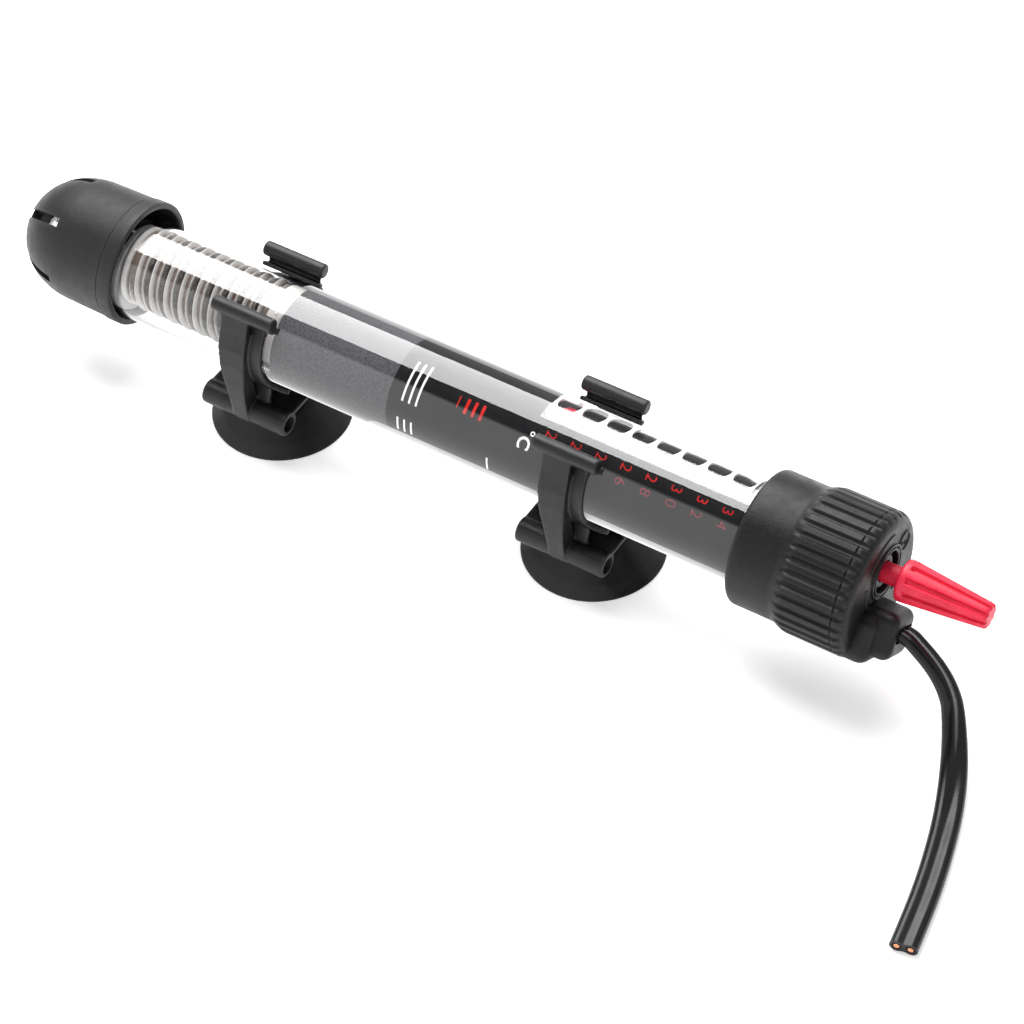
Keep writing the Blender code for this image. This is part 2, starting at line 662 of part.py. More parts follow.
# ------------------------------------------------------------ knob
KNOB_X0 = 266.7
KNOB_BIG_R = 5.55
KNOB_TIP_R = 3.35
STEM_R = 2.7
STEM_X0 = 249.4
SOCKET_R = 1.5            # blind hole that takes the spindle
SOCKET_X1 = 257.0
FLUTES = 9
FLUTE_LENGTH, FLUTE_W, FLUTE_H = 26.0, 1.75, 2.4
FLUTE_TAPER = 0.66        # width at the tip end over width at the start
FLUTE_START = 2.2         # beyond KNOB_X0
FLUTE_DEPTH = 1.05


def flute(k):
    """Tapered cutter, leaning with the knob's side."""
    ob = box((0.0, FLUTE_LENGTH), span(0.5 * FLUTE_W), (0.0, FLUTE_H), 360.0 * k / FLUTES)
    for vert in ob.data.vertices:
        if vert.co.x > 0.5 * FLUTE_LENGTH * UNIT:
            vert.co.y *= FLUTE_TAPER
    slope = math.atan2(KNOB_BIG_R - KNOB_TIP_R, KNOB_X1 - KNOB_X0)
    lift = Matrix.Translation((0.0, 0.0, (KNOB_BIG_R - FLUTE_DEPTH) * UNIT))
    ob.data.transform(lift @ Matrix.Rotation(slope, 4, 'Y'))
    y, z = SPINDLE_YZ
    ob.location = ((KNOB_X0 + FLUTE_START) * UNIT, y * UNIT, z * UNIT)
    return ob


knob = turned([(0.0, KNOB_X1), (KNOB_TIP_R - 0.7, KNOB_X1), (KNOB_TIP_R - 0.15, KNOB_X1 - 0.35),
               (KNOB_TIP_R + 0.03, KNOB_X1 - 1.0), (KNOB_BIG_R, KNOB_X0 + 0.7),
               (KNOB_BIG_R - 0.2, KNOB_X0 + 0.15), (KNOB_BIG_R - 0.7, KNOB_X0),
               (STEM_R, KNOB_X0), (STEM_R, STEM_X0), (SOCKET_R, STEM_X0),
               (SOCKET_R, SOCKET_X1), (0.0, SOCKET_X1)], 27, *SPINDLE_YZ)
cut(knob, joined([flute(k) for k in range(FLUTES)]))
place(knob, "adjusting_knob", M_RED)

# ------------------------------------------------------------ cord
# Centre line: straight through the boot, then down to the level of the cups, bending to -Y.
CORD_POINTS = [Vector(point) for point in (
    (249.2, *CORD_YZ), (263.5, *CORD_YZ), (BOOT_X1 + 0.6, *CORD_YZ),
    (275.2, -5.6, -8.2), (281.3, -7.4, -11.2), (285.6, -9.0, -15.5),
    (288.7, -11.8, -19.7), (293.5, -19.8, -25.6), (298.1, -30.7, -28.9),
    (302.2, -44.0, -29.55), (305.5, -57.7, -29.6), (308.3, -73.1, -29.6))]
CORD_STEPS = 2            # curve steps between centre line points
ROLL_START = 24.0         # length along the cord where it begins to roll flat
ROLL_LENGTH = 62.0
CORD_VALLEY = 0.45        # depth of the valley between the cores
CORD_BORE_R = 1.12
COPPER_R = 0.80


def catmull(control, steps):
    """Catmull-Rom curve through the control points."""
    points = []
    last = len(control) - 1
    for i in range(last):
        p0, p1, p2, p3 = (control[min(max(j, 0), last)] for j in range(i - 1, i + 3))
        for j in range(steps):
            t = j / steps
            points.append(0.5 * ((2 * p1) + (p2 - p0) * t
                                 + (2 * p0 - 5 * p1 + 4 * p2 - p3) * t * t
                                 + (3 * p1 - 3 * p2 + p3 - p0) * t ** 3))
    points.append(control[-1].copy())
    return points


def cord_stations():
    """(point, side, up) stations; the cord rolls from the boot's angle to lying flat."""
    points = catmull(CORD_POINTS, CORD_STEPS)
    last = len(points) - 1
    stations = []
    travelled = 0.0
    for i, point in enumerate(points):
        if i > 0:
            travelled += (point - points[i - 1]).length
        along = (points[min(i + 1, last)] - points[max(i - 1, 0)]).normalized()
        if point.x <= BOOT_X1 + 0.01:
            along = Vector((1.0, 0.0, 0.0))
        roll = min(max((travelled - ROLL_START) / ROLL_LENGTH, 0.0), 1.0)
        roll = roll * roll * (3.0 - 2.0 * roll)
        flat = Vector((0.0, 0.0, 1.0)).cross(along)
        if flat.dot(ACROSS) < 0:
            flat = -flat
        side = ACROSS * (1.0 - roll) + flat.normalized() * roll
        side = (side - along * side.dot(along)).normalized()
        stations.append((point, side, along.cross(side).normalized()))
    return stations


def sheath_section():
    """Two round halves side by side, with a shallow valley between."""
    radius = 0.5 * CORD_T
    centre = 0.5 * CORD_W - radius
    valley = radius - CORD_VALLEY
    return ([(centre + a, b) for a, b in arc(radius, -90, 90, 5)] + [(0.0, valley)]
            + [(-centre + a, b) for a, b in arc(radius, 90, 270, 5)] + [(0.0, -valley)])


def core_section(side, radius):
    corners = [polar(radius, 360.0 * (i + 0.5) / 6) for i in range(6)]
    return [(side * CORD_CORE_OFF + a, b) for a, b in corners]


def power_cord():
    path = cord_stations()
    sheath = swept(path, sheath_section())
    start, start_side, start_up = path[0]
    end, end_side, end_up = path[-1]
    # the bores run past both ends of the sheath
    bore_path = ([(start - Vector((2.0, 0, 0)), start_side, start_up)] + path[1:-1]
                 + [(end + end_side.cross(end_up).normalized(), end_side, end_up)])
    for bore in [swept(bore_path, core_section(side, CORD_BORE_R)) for side in (-1, 1)]:
        cut(sheath, bore)
    place(sheath, "power_cord", M_CORD, 50)

    core_path = [(Vector((x, *CORD_YZ)), start_side, start_up) for x in (229.0, 246.0)] + path
    for name, side in (("cord_core_live", -1), ("cord_core_neutral", 1)):
        place(swept(core_path, core_section(side, COPPER_R)), name, M_COPPER, 60)


power_cord()
for name, axis in (("crimp_live", LIVE), ("crimp_neutral", NEUTRAL)):
    place(ring((226.4, 233.4), 1.6, 1.12, 14, axis.y, axis.z), name, M_BRASS)


# ------------------------------------------------------------ lead wires
LEAD_SPREAD = 1.10        # the leads run this much further out than the cord cores


def beside(axis, x, spread=1.0):
    return (x, axis.y * spread, axis.z * spread)


LEAD_PATHS = {
    "lead_wire_live": [
        beside(LIVE, 228.6), beside(LIVE, 222.0), beside(LIVE, 216.0, LEAD_SPREAD),
        beside(LIVE, 136.4, LEAD_SPREAD), beside(LIVE, 132.7, 0.92)],
    "lead_wire_neutral": [
        beside(NEUTRAL, 228.6), beside(NEUTRAL, 222.0), beside(NEUTRAL, 216.0, LEAD_SPREAD),
        beside(NEUTRAL, 136.6, LEAD_SPREAD),
        *(tilted_point(x, PASSAGE_Y, PASSAGE_Z) for x in (133.4, 129.0, 120.0)),
        (100.0, -DISC_HOLE_Y, -DISC_HOLE_Z), (88.7, -DISC_HOLE_Y, -DISC_HOLE_Z)],
    "lead_wire_element": [
        tilted_point(122.6, 0.0, 2.6), (118.0, 1.5, 1.5), (104.0, 6.0, 3.6),
        (96.0, DISC_HOLE_Y, DISC_HOLE_Z), (89.3, DISC_HOLE_Y, DISC_HOLE_Z), (88.7, 8.0, 4.9)],
}
for name, path in LEAD_PATHS.items():
    place(wire(path, LEAD_R), name, M_WIRE, 60)

# ------------------------------------------------------------ clip brackets and cups
CLIPS = (("front", 80.5), ("rear", 178.5))   # name, x of the centre
BAR_Y, BAR_Z, BAR_R, BAR_HALF = 11.9, 14.25, 2.05, 9.4
BAR_CHAMFER = 0.5
ROLL_Y, ROLL_Z, ROLL_R, ROLL_BORE, ROLL_HALF = 14.2, -17.95, 3.45, 2.3, 12.95
BAND_R = 13.95
BAND_T = 1.45
BAND_HALF = 6.1
BAND_ANGLE = 41.0         # the band reaches this far above and below the Y axis
RIB_HALF = 2.3
PLATE_Z0, PLATE_Z1 = -16.6, -15.2
NECK_HOLE_R = 3.9
NECK_R = 3.5
CUP_R = 19.15
CUP_Z = -31.5             # plane of the cup's lip

# Arm on the +Y side: (y, z) outlines of its wide band and its narrow outer rib.
TOP_Y, TOP_Z = polar(BAND_R, BAND_ANGLE)
BAND = (arc(BAND_R, -BAND_ANGLE, BAND_ANGLE, 9)
        + [(TOP_Y - 0.05, TOP_Z + 1.5), (BAR_Y - 0.7, BAR_Z),
           (BAR_Y + 0.9, BAR_Z), (BAR_Y + 0.6, BAR_Z - 2.6)]
        + arc(BAND_R + BAND_T, BAND_ANGLE - 1.0, -BAND_ANGLE, 9)
        + [(ROLL_Y - 0.6, ROLL_Z + 2.0), (ROLL_Y - 2.2, ROLL_Z + 2.0)])
RIB = [(BAR_Y + 0.2, BAR_Z), (BAR_Y + 1.95, BAR_Z - 0.6), (15.4, 8.6), (17.0, 4.0),
       (17.9, -1.0), (18.35, -6.5), (18.4, -12.0), (ROLL_Y + ROLL_R + 0.35, ROLL_Z + 1.0),
       (ROLL_Y + ROLL_R + 0.1, ROLL_Z - 1.0), (ROLL_Y + 2.5, ROLL_Z - 2.9),
       (ROLL_Y, ROLL_Z - 2.6), (ROLL_Y - 1.0, ROLL_Z + 2.8), (13.4, -10.0),
       (14.75, -3.0), (14.75, 3.0), (13.5, 7.0)]

# (radius, z): button head, neck, outside of the skirt, lip, hollow underside
CUP_PROFILE = [
    (0.0, PLATE_Z1 + 0.95), (3.6, PLATE_Z1 + 0.95), (4.6, PLATE_Z1 + 0.7), (4.7, PLATE_Z1 + 0.35),
    (NECK_R, PLATE_Z1 + 0.35), (NECK_R, PLATE_Z0 - 0.35), (6.0, PLATE_Z0 - 0.45), (6.6, -20.6),
    (11.0, -23.6), (16.4, -28.4), (18.6, -30.6), (CUP_R, CUP_Z + 0.35), (CUP_R - 0.1, CUP_Z),
    (CUP_R - 1.5, CUP_Z), (15.6, -30.0), (10.0, -26.4), (4.5, -24.1), (0.0, -23.6)]


def grip_bar(x, side):
    """Bar with chamfered ends along the top edge of one arm."""
    x0, x1 = span(BAR_HALF, x)
    end_r = BAR_R - BAR_CHAMFER
    return turned([(0.0, x1), (end_r, x1), (BAR_R, x1 - BAR_CHAMFER), (BAR_R, x0 + BAR_CHAMFER),
                   (end_r, x0), (0.0, x0)], 12, side * BAR_Y, BAR_Z)


def clip_bracket(name, x):
    body = box(span(ROLL_HALF, x), span(ROLL_Y), (PLATE_Z0, PLATE_Z1))
    for side in (-1, 1):
        for points, half in ((BAND, BAND_HALF), (RIB, RIB_HALF)):
            add(body, outline([(side * y, z) for y, z in points], span(half, x)))
        add(body, rod(span(ROLL_HALF, x), ROLL_R, 18, side * ROLL_Y, ROLL_Z))
        add(body, grip_bar(x, side))
    for side in (-1, 1):
        cut(body, rod(span(ROLL_HALF + 1, x), ROLL_BORE, 12, side * ROLL_Y, ROLL_Z))
    # hole for the cup's neck
    cut(body, cylinder("neck", x, span(4.0, 0.5 * (PLATE_Z0 + PLATE_Z1)), NECK_HOLE_R, 20))
    place(body, name, M_CLIP)


def suction_cup(name, x):
    cup = lathe(CUP_PROFILE, 28)
    cup.location = (x * UNIT, 0.0, 0.0)
    place(cup, name, M_CUP)


for clip, x in CLIPS:
    clip_bracket("clip_bracket_" + clip, x)
    suction_cup("suction_cup_" + clip, x)

# ------------------------------------------------------------ move the guard's tip to x = 0
bpy.context.view_layer.update()
for collection in (PARTS, CUTTERS):
    for ob in collection.objects:
        ob.matrix_world = Matrix.Translation((-TIP_X * UNIT, 0.0, 0.0)) @ ob.matrix_world
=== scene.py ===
"""Looks of a submersible aquarium heater, built over its CAD frame.

The glass tube lies along X, its axis on Y = Z = 0, and +Z is up.  The slotted end guard has
its tip at the low-X end; the head, knob and cord are at the high-X end.  Two clips hold the
tube, and their suction cups stand on the floor below it.

Sizes are in drawing units of UNIT metres, unless they belong to a material, light or camera.
Angles round the tube are in degrees from +Y towards +Z.
"""
import math

import bmesh
import bpy
from mathutils import Matrix, Vector


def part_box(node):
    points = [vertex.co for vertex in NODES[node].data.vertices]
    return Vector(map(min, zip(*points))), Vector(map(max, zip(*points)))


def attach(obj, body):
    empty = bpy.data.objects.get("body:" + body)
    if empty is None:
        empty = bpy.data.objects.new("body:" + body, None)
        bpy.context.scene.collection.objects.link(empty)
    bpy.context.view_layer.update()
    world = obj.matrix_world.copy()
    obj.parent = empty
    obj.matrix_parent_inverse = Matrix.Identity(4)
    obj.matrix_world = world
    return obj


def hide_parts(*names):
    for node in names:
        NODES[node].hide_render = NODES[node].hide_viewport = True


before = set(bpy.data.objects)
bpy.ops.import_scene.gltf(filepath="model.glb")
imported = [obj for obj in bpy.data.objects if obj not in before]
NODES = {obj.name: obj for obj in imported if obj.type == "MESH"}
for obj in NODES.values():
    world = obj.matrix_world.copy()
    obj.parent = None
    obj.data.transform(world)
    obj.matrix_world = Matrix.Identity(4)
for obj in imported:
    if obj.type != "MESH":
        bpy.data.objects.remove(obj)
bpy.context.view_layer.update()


def polar(r, degrees):
    a = math.radians(degrees)
    return r * math.cos(a), r * math.sin(a)


# ------------------------------------------------------------ scale and shared places
TUBE_R, BORE_R = 13.56, 12.60
low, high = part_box("glass_tube")
UNIT = (high.z - low.z) / (2.0 * TUBE_R)
TIP_X = 2.56                           # the guard's tip, which is the frame's X = 0
TO_FRAME = Matrix.Scale(UNIT, 4) @ Matrix.Translation((-TIP_X, 0.0, 0.0))

SPINDLE_ANGLE = 58.0                   # the spindle and the cord lie on opposite sides of the axis
SPINDLE_Y, SPINDLE_Z = polar(4.41, SPINDLE_ANGLE)
CORD_Y, CORD_Z = polar(8.6, SPINDLE_ANGLE + 180.0)
CORE_Y, CORE_Z = 0.95, 0.73            # axis of the ceramic core
CUP_Z = -31.5                          # the cups' lower rim, which stands on the floor


# ------------------------------------------------------------ shapes: (verts, faces) pairs
def smoothstep(a, b, x):
    t = max(0.0, min(1.0, (x - a) / (b - a)))
    return t * t * (3 - 2 * t)


def grid_faces(rows, cols, wrap_rows=False, skip=None):
    """Quads between rows of cols vertices; the columns always close into a ring."""
    faces = []
    for i in range(rows if wrap_rows else rows - 1):
        below = ((i + 1) % rows) * cols
        for j in range(cols):
            if skip and skip(i, j):
                continue
            k = (j + 1) % cols
            faces.append((i * cols + j, i * cols + k, below + k, below + j))
    return faces


def end_caps(rows, cols):
    return [tuple(range(cols)), tuple(range((rows - 1) * cols, rows * cols))[::-1]]


def lathe(profile, segments, y=0.0, z=0.0):
    """(r, x) profile turned about an axis along X, with flat ends."""
    verts = []
    for r, x in profile:
        for j in range(segments):
            a = 2.0 * math.pi * j / segments
            verts.append((x, y + r * math.cos(a), z + r * math.sin(a)))
    n = len(profile)
    return verts, grid_faces(n, segments) + end_caps(n, segments)


def stand_up(shape, centre_x):
    """Turns a lathed shape so that its axis is vertical, at centre_x."""
    verts, faces = shape
    return [(centre_x + y, z, x) for x, y, z in verts], faces


def fillet(profile, radius, steps):
    """Rounds the inner corners of an open profile."""
    rounded = [profile[0]]
    for before, corner, after in zip(profile, profile[1:], profile[2:]):
        a, b, c = Vector(before), Vector(corner), Vector(after)
        d0, d1 = (a - b), (c - b)
        l0, l1 = d0.length, d1.length
        d0.normalize()
        d1.normalize()
        if d0.dot(d1) < -0.985:        # nearly straight
            rounded.append(tuple(b))
            continue
        reach = min(radius, 0.45 * l0, 0.45 * l1)
        p0, p1 = b + d0 * reach, b + d1 * reach
        for i in range(steps + 1):
            t = i / steps
            rounded.append(tuple(p0 * (1 - t) ** 2 + b * 2 * t * (1 - t) + p1 * t * t))
    rounded.append(profile[-1])
    return rounded


def tube_along(points, radius, sides):
    """A round wire through the points, with parallel-transported rings."""
    points = [Vector(p) for p in points]
    n = len(points)
    verts = []
    normal = None
    for i, point in enumerate(points):
        tangent = (points[min(i + 1, n - 1)] - points[max(i - 1, 0)]).normalized()
        if normal is None:
            normal = Vector((0, 0, 1)) if abs(tangent.z) < 0.9 else Vector((0, 1, 0))
        normal = (normal - tangent * normal.dot(tangent)).normalized()
        across = tangent.cross(normal)
        for j in range(sides):
            a = 2 * math.pi * j / sides
            verts.append(point + normal * (radius * math.cos(a)) + across * (radius * math.sin(a)))
    return verts, grid_faces(n, sides) + [cap[::-1] for cap in end_caps(n, sides)]


def catmull(control, steps):
    """Points of a Catmull-Rom curve through the control points."""
    control = [Vector(c) for c in control]
    points = []
    n = len(control)
    for i in range(n - 1):
        p0, p1 = control[max(i - 1, 0)], control[i]
        p2, p3 = control[i + 1], control[min(i + 2, n - 1)]
        for j in range(steps):
            t = j / steps
            points.append(0.5 * ((2 * p1) + (p2 - p0) * t
                                 + (2 * p0 - 5 * p1 + 4 * p2 - p3) * t * t
                                 + (3 * p1 - 3 * p2 + p3 - p0) * t ** 3))
    points.append(control[-1].copy())
    return points


def merge(shapes):
    verts, faces = [], []
    for more_verts, more_faces in shapes:
        start = len(verts)
        verts += [tuple(v) for v in more_verts]
        faces += [tuple(i + start for i in face) for face in more_faces]
    return verts, faces


def box(x_range, y_range, z_range, turn, bevel, steps):
    """A bevelled box, turned about X by so many degrees."""
    bm = bmesh.new()
    bmesh.ops.create_cube(bm, size=1.0)
    (x0, x1), (y0, y1), (z0, z1) = x_range, y_range, z_range
    bmesh.ops.scale(bm, vec=(x1 - x0, y1 - y0, z1 - z0), verts=bm.verts)
    bmesh.ops.translate(bm, vec=((x0 + x1) / 2, (y0 + y1) / 2, (z0 + z1) / 2), verts=bm.verts)
    bmesh.ops.bevel(bm, geom=bm.edges[:], offset=bevel, segments=steps, profile=0.5,
                    affect='EDGES')
    bmesh.ops.rotate(bm, cent=(0, 0, 0), matrix=Matrix.Rotation(math.radians(turn), 3, 'X'),
                     verts=bm.verts)
    bm.verts.index_update()
    verts = [tuple(v.co) for v in bm.verts]
    faces = [tuple(v.index for v in face.verts) for face in bm.faces]
    bm.free()
    return verts, faces


def prism(outline, x0, x1):
    """A (y, z) outline drawn out from x0 to x1."""
    n = len(outline)
    verts = [(x, y, z) for x in (x0, x1) for y, z in outline]
    faces = [(i, (i + 1) % n, n + (i + 1) % n, n + i) for i in range(n)]
    faces.append(tuple(range(n))[::-1])
    faces.append(tuple(range(n, 2 * n)))
    return verts, faces


def arc(r, a0, a1, steps):
    return [polar(r, a0 + (a1 - a0) * i / steps) for i in range(steps + 1)]


# ------------------------------------------------------------ meshes and pieces
def tidy(me, recalc=True, weld=0.0):
    bm = bmesh.new()
    bm.from_mesh(me)
    if weld:
        bmesh.ops.remove_doubles(bm, verts=bm.verts, dist=weld)
    if recalc:
        bmesh.ops.recalc_face_normals(bm, faces=bm.faces)
    bm.to_mesh(me)
    bm.free()


def mesh(name, shape):
    verts, faces = shape
    me = bpy.data.meshes.new(name)
    me.from_pydata([tuple(v) for v in verts], [], faces)
    return me


def add_mesh(name, me, material, sharp, replaces=(), slot=None, body="heater",
             recalc=True, weld=0.0):
    """Makes a drawing-unit mesh a piece that rides on its body.

    The slot argument is not used.
    """
    if recalc or weld:
        tidy(me, recalc, weld)
    me.transform(TO_FRAME)
    me.validate()
    ob = bpy.data.objects.new(name, me)
    bpy.context.scene.collection.objects.link(ob)
    me.materials.clear()
    me.materials.append(LOOKS[material])
    me.shade_smooth()
    if sharp is not None:
        me.set_sharp_from_angle(angle=math.radians(sharp))
    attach(ob, body)
    if replaces:
        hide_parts(*replaces)


def add_piece(name, shape, material, sharp, replaces=(), **options):
    add_mesh(name, mesh(name, shape), material, sharp, replaces, **options)


def temp_object(shape):
    me = mesh("tmp", shape)
    tidy(me)
    ob = bpy.data.objects.new("tmp", me)
    bpy.context.scene.collection.objects.link(ob)
    return ob


def carved(ob, cutters):
    """The mesh of a temporary object with the cutter shapes taken out of it."""
    tools = [temp_object(cutter) for cutter in cutters]
    for tool in tools:
        cut = ob.modifiers.new("cut", 'BOOLEAN')
        cut.object, cut.operation, cut.solver = tool, 'DIFFERENCE', 'EXACT'
    bpy.context.view_layer.update()
    depsgraph = bpy.context.evaluated_depsgraph_get()
    me = bpy.data.meshes.new_from_object(ob.evaluated_get(depsgraph))
    for used in [ob] + tools:
        bpy.data.objects.remove(used, do_unlink=True)
    return me


def soft_union(shells, voxel, smoothing, holes):
    """Overlapping closed shells fused into one skin with softened inner corners, then cut."""
    ob = temp_object(merge(shells))
    fuse = ob.modifiers.new("fuse", 'REMESH')
    fuse.mode = 'VOXEL'
    fuse.voxel_size = voxel
    soften = ob.modifiers.new("soften", 'SMOOTH')
    soften.factor = 0.5
    soften.iterations = smoothing
    return carved(ob, holes)


# ------------------------------------------------------------ node trees
class Tree:
    """Short-hand for node trees.  Keywords name the input sockets, with _ for a space."""

    def __init__(self, tree, space):
        self.tree = tree
        self.coords = self.node("TexCoord").outputs[space]

    def feed(self, value, socket):
        """Links a socket or sets a value."""
        if isinstance(value, bpy.types.NodeSocket):
            self.tree.links.new(value, socket)
        elif isinstance(value, tuple) and socket.type == 'RGBA':
            socket.default_value = (*value, 1.0)
        else:
            socket.default_value = value

    def node(self, kind, **inputs):
        node = self.tree.nodes.new("ShaderNode" + kind)
        for name, value in inputs.items():
            self.feed(value, node.inputs[name.replace("_", " ")])
        return node

    def noise(self, scale, detail=3.0, roughness=0.55, vector=None):
        vector = self.coords if vector is None else vector
        return self.node("TexNoise", Scale=scale, Detail=detail, Roughness=roughness,
                         Vector=vector).outputs["Fac"]

    def ramp(self, factor, stops):
        """A colour ramp; stops are (position, grey or colour)."""
        node = self.node("ValToRGB")
        elements = node.color_ramp.elements
        while len(elements) < len(stops):
            elements.new(0.5)
        for element, (position, color) in zip(elements, stops):
            element.position = position
            element.color = (*color, 1.0) if isinstance(color, tuple) else (color,) * 3 + (1.0,)
        self.feed(factor, node.inputs["Fac"])
        return node.outputs["Color"]

    def mottle(self, low, high, scale, detail=3.0, roughness=0.55, at=(0.3, 0.7)):
        """Noise that runs from one value or colour to another between the two levels."""
        return self.ramp(self.noise(scale, detail, roughness), [(at[0], low), (at[1], high)])

    def math(self, operation, *values):
        node = self.node("Math")
        node.operation = operation
        for value, socket in zip(values, node.inputs):
            self.feed(value, socket)
        return node.outputs["Value"]

    def mix(self, factor, a, b):
        node = self.node("Mix")
        node.data_type = 'RGBA'
        # sockets 6 and 7 are the two colours
        for index, value in ((0, factor), (6, a), (7, b)):
            self.feed(value, node.inputs[index])
        return node.outputs[2]

    def tint(self, mask, amount, color, other):
        """Mixes in another colour where the mask is, by no more than the amount."""
        return self.mix(self.math('MULTIPLY', mask, amount), color, other)

    def mix_shader(self, factor, first, second):
        node = self.node("MixShader")
        for value, socket in zip((factor, first, second), node.inputs):
            self.feed(value, socket)
        return node.outputs[0]

    def relief(self, coarse, fine, share):
        return self.math('ADD', coarse, self.math('MULTIPLY', fine, share))

    def bump(self, height, strength, depth):
        return self.node("Bump", Strength=strength, Distance=depth, Height=height).outputs[0]

    def split(self, vector):
        return self.node("SeparateXYZ", Vector=vector).outputs

    def turn(self, xyz):
        """A direction's angle about X in half turns, from +Y towards +Z."""
        return self.math('DIVIDE', self.math('ARCTAN2', xyz["Z"], xyz["Y"]), math.pi)


class Look(Tree):
    """A material whose textures lie in the object's own space, in metres."""

    def __init__(self, name):
        self.material = bpy.data.materials.new(name)
        self.material.use_nodes = True
        super().__init__(self.material.node_tree, "Object")
        self.principled = self.tree.nodes["Principled BSDF"]

    def finish(self, **inputs):
        for name, value in inputs.items():
            self.feed(value, self.principled.inputs[name.replace("_", " ")])
        return self.material


# ------------------------------------------------------------ materials
def moulded(name, dark, light, rough, grain, bump, depth, cloud, edge=None, specular=0.5):
    """Moulded plastic or rubber: fine grain, faint clouding and, if asked, lighter edges.

    grain and cloud are noise scales; depth is the bump distance in metres; edge is the colour of a
    painted highlight drawn along sharp edges.
    """
    look = Look(name)
    color = look.mottle(dark, light, scale=cloud, detail=4.0, roughness=0.6, at=(0.3, 0.72))
    speck = look.mottle(0.0, 1.0, scale=grain * 0.5, detail=2.0, roughness=0.5, at=(0.45, 0.75))
    color = look.tint(speck, 0.25, color, tuple(min(1.0, c * 1.7 + 0.01) for c in light))
    if edge is not None:
        # painted highlight: sharp edges, found by pointiness, are drawn lighter in place of the
        # glint on them
        pointiness = look.node("NewGeometry").outputs["Pointiness"]
        color = look.tint(look.ramp(pointiness, [(0.50, 0.0), (0.56, 1.0)]), 0.55, color, edge)
    height = look.noise(grain, detail=2.0, roughness=0.6)
    return look.finish(
        Base_Color=color,
        Roughness=look.mottle(*rough, scale=grain * 0.12, detail=3.0, roughness=0.6),
        Normal=look.bump(height, bump, depth),
        Specular_IOR_Level=specular)


def cup_look():
    """Dusty black rubber."""
    look = Look("look_cup")
    color = look.mottle((0.004, 0.004, 0.0045), (0.009, 0.009, 0.0095),
                        scale=95.0, detail=5.0, roughness=0.65, at=(0.35, 0.75))
    dust = look.mottle(0.0, 1.0, scale=700.0, roughness=0.7, at=(0.62, 0.78))
    color = look.tint(dust, 0.35, color, (0.04, 0.04, 0.042))
    rough = look.mottle(0.30, 0.52, scale=120.0, detail=4.0, roughness=0.7, at=(0.35, 0.7))
    coarse = look.math('MULTIPLY', look.noise(scale=260.0, roughness=0.6), 1.0)
    height = look.relief(coarse, look.noise(scale=1800.0), share=0.25)
    return look.finish(Base_Color=color, Roughness=rough,
                       Normal=look.bump(height, strength=0.35, depth=0.00018),
                       Specular_IOR_Level=0.38)


def red_look():
    """Red plastic of the knob, faintly translucent."""
    look = Look("look_red")
    color = look.mottle((0.66, 0.005, 0.034), (0.82, 0.012, 0.058),
                        scale=160.0, detail=4.0, roughness=0.65)
    speck = look.mottle(0.0, 1.0, scale=1500.0, roughness=0.7, at=(0.55, 0.8))
    color = look.tint(speck, 0.30, color, (0.95, 0.16, 0.24))
    rough = look.mottle(0.36, 0.55, scale=500.0, roughness=0.6)
    height = look.relief(look.noise(scale=900.0, roughness=0.65), look.noise(scale=3000.0),
                         share=0.4)
    return look.finish(Base_Color=color, Roughness=rough,
                       Normal=look.bump(height, strength=0.5, depth=0.00007),
                       Subsurface_Weight=0.08, Subsurface_Radius=(0.002, 0.0004, 0.0004))


def cord_look():
    look = Look("look_cord")
    color = look.mottle((0.004, 0.004, 0.0045), (0.008, 0.008, 0.009), scale=120.0)
    rough = look.mottle(0.22, 0.34, scale=200.0, roughness=0.6)
    height = look.relief(look.noise(scale=150.0, detail=2.0), look.noise(scale=2500.0),
                         share=0.15)
    return look.finish(Base_Color=color, Roughness=rough,
                       Normal=look.bump(height, strength=0.18, depth=0.0002),
                       Specular_IOR_Level=0.28)


GLASS_IOR = 1.55
GLASS_TINT = (0.985, 0.99, 0.995)
# The studio's reflection as painted on the glass over the films, in places brighter than the studio
# itself: (angle about X in degrees, brightness)
PAINTED_STUDIO_REFLECTION = [(0.0, 0.50), (28.0, 0.42), (94.0, 0.7), (97.0, 0.03), (126.0, 0.03),
                   (133.0, 1.95), (180.0, 1.95)]


def half_turns(stops):
    return [(degrees / 180.0, value) for degrees, value in stops]


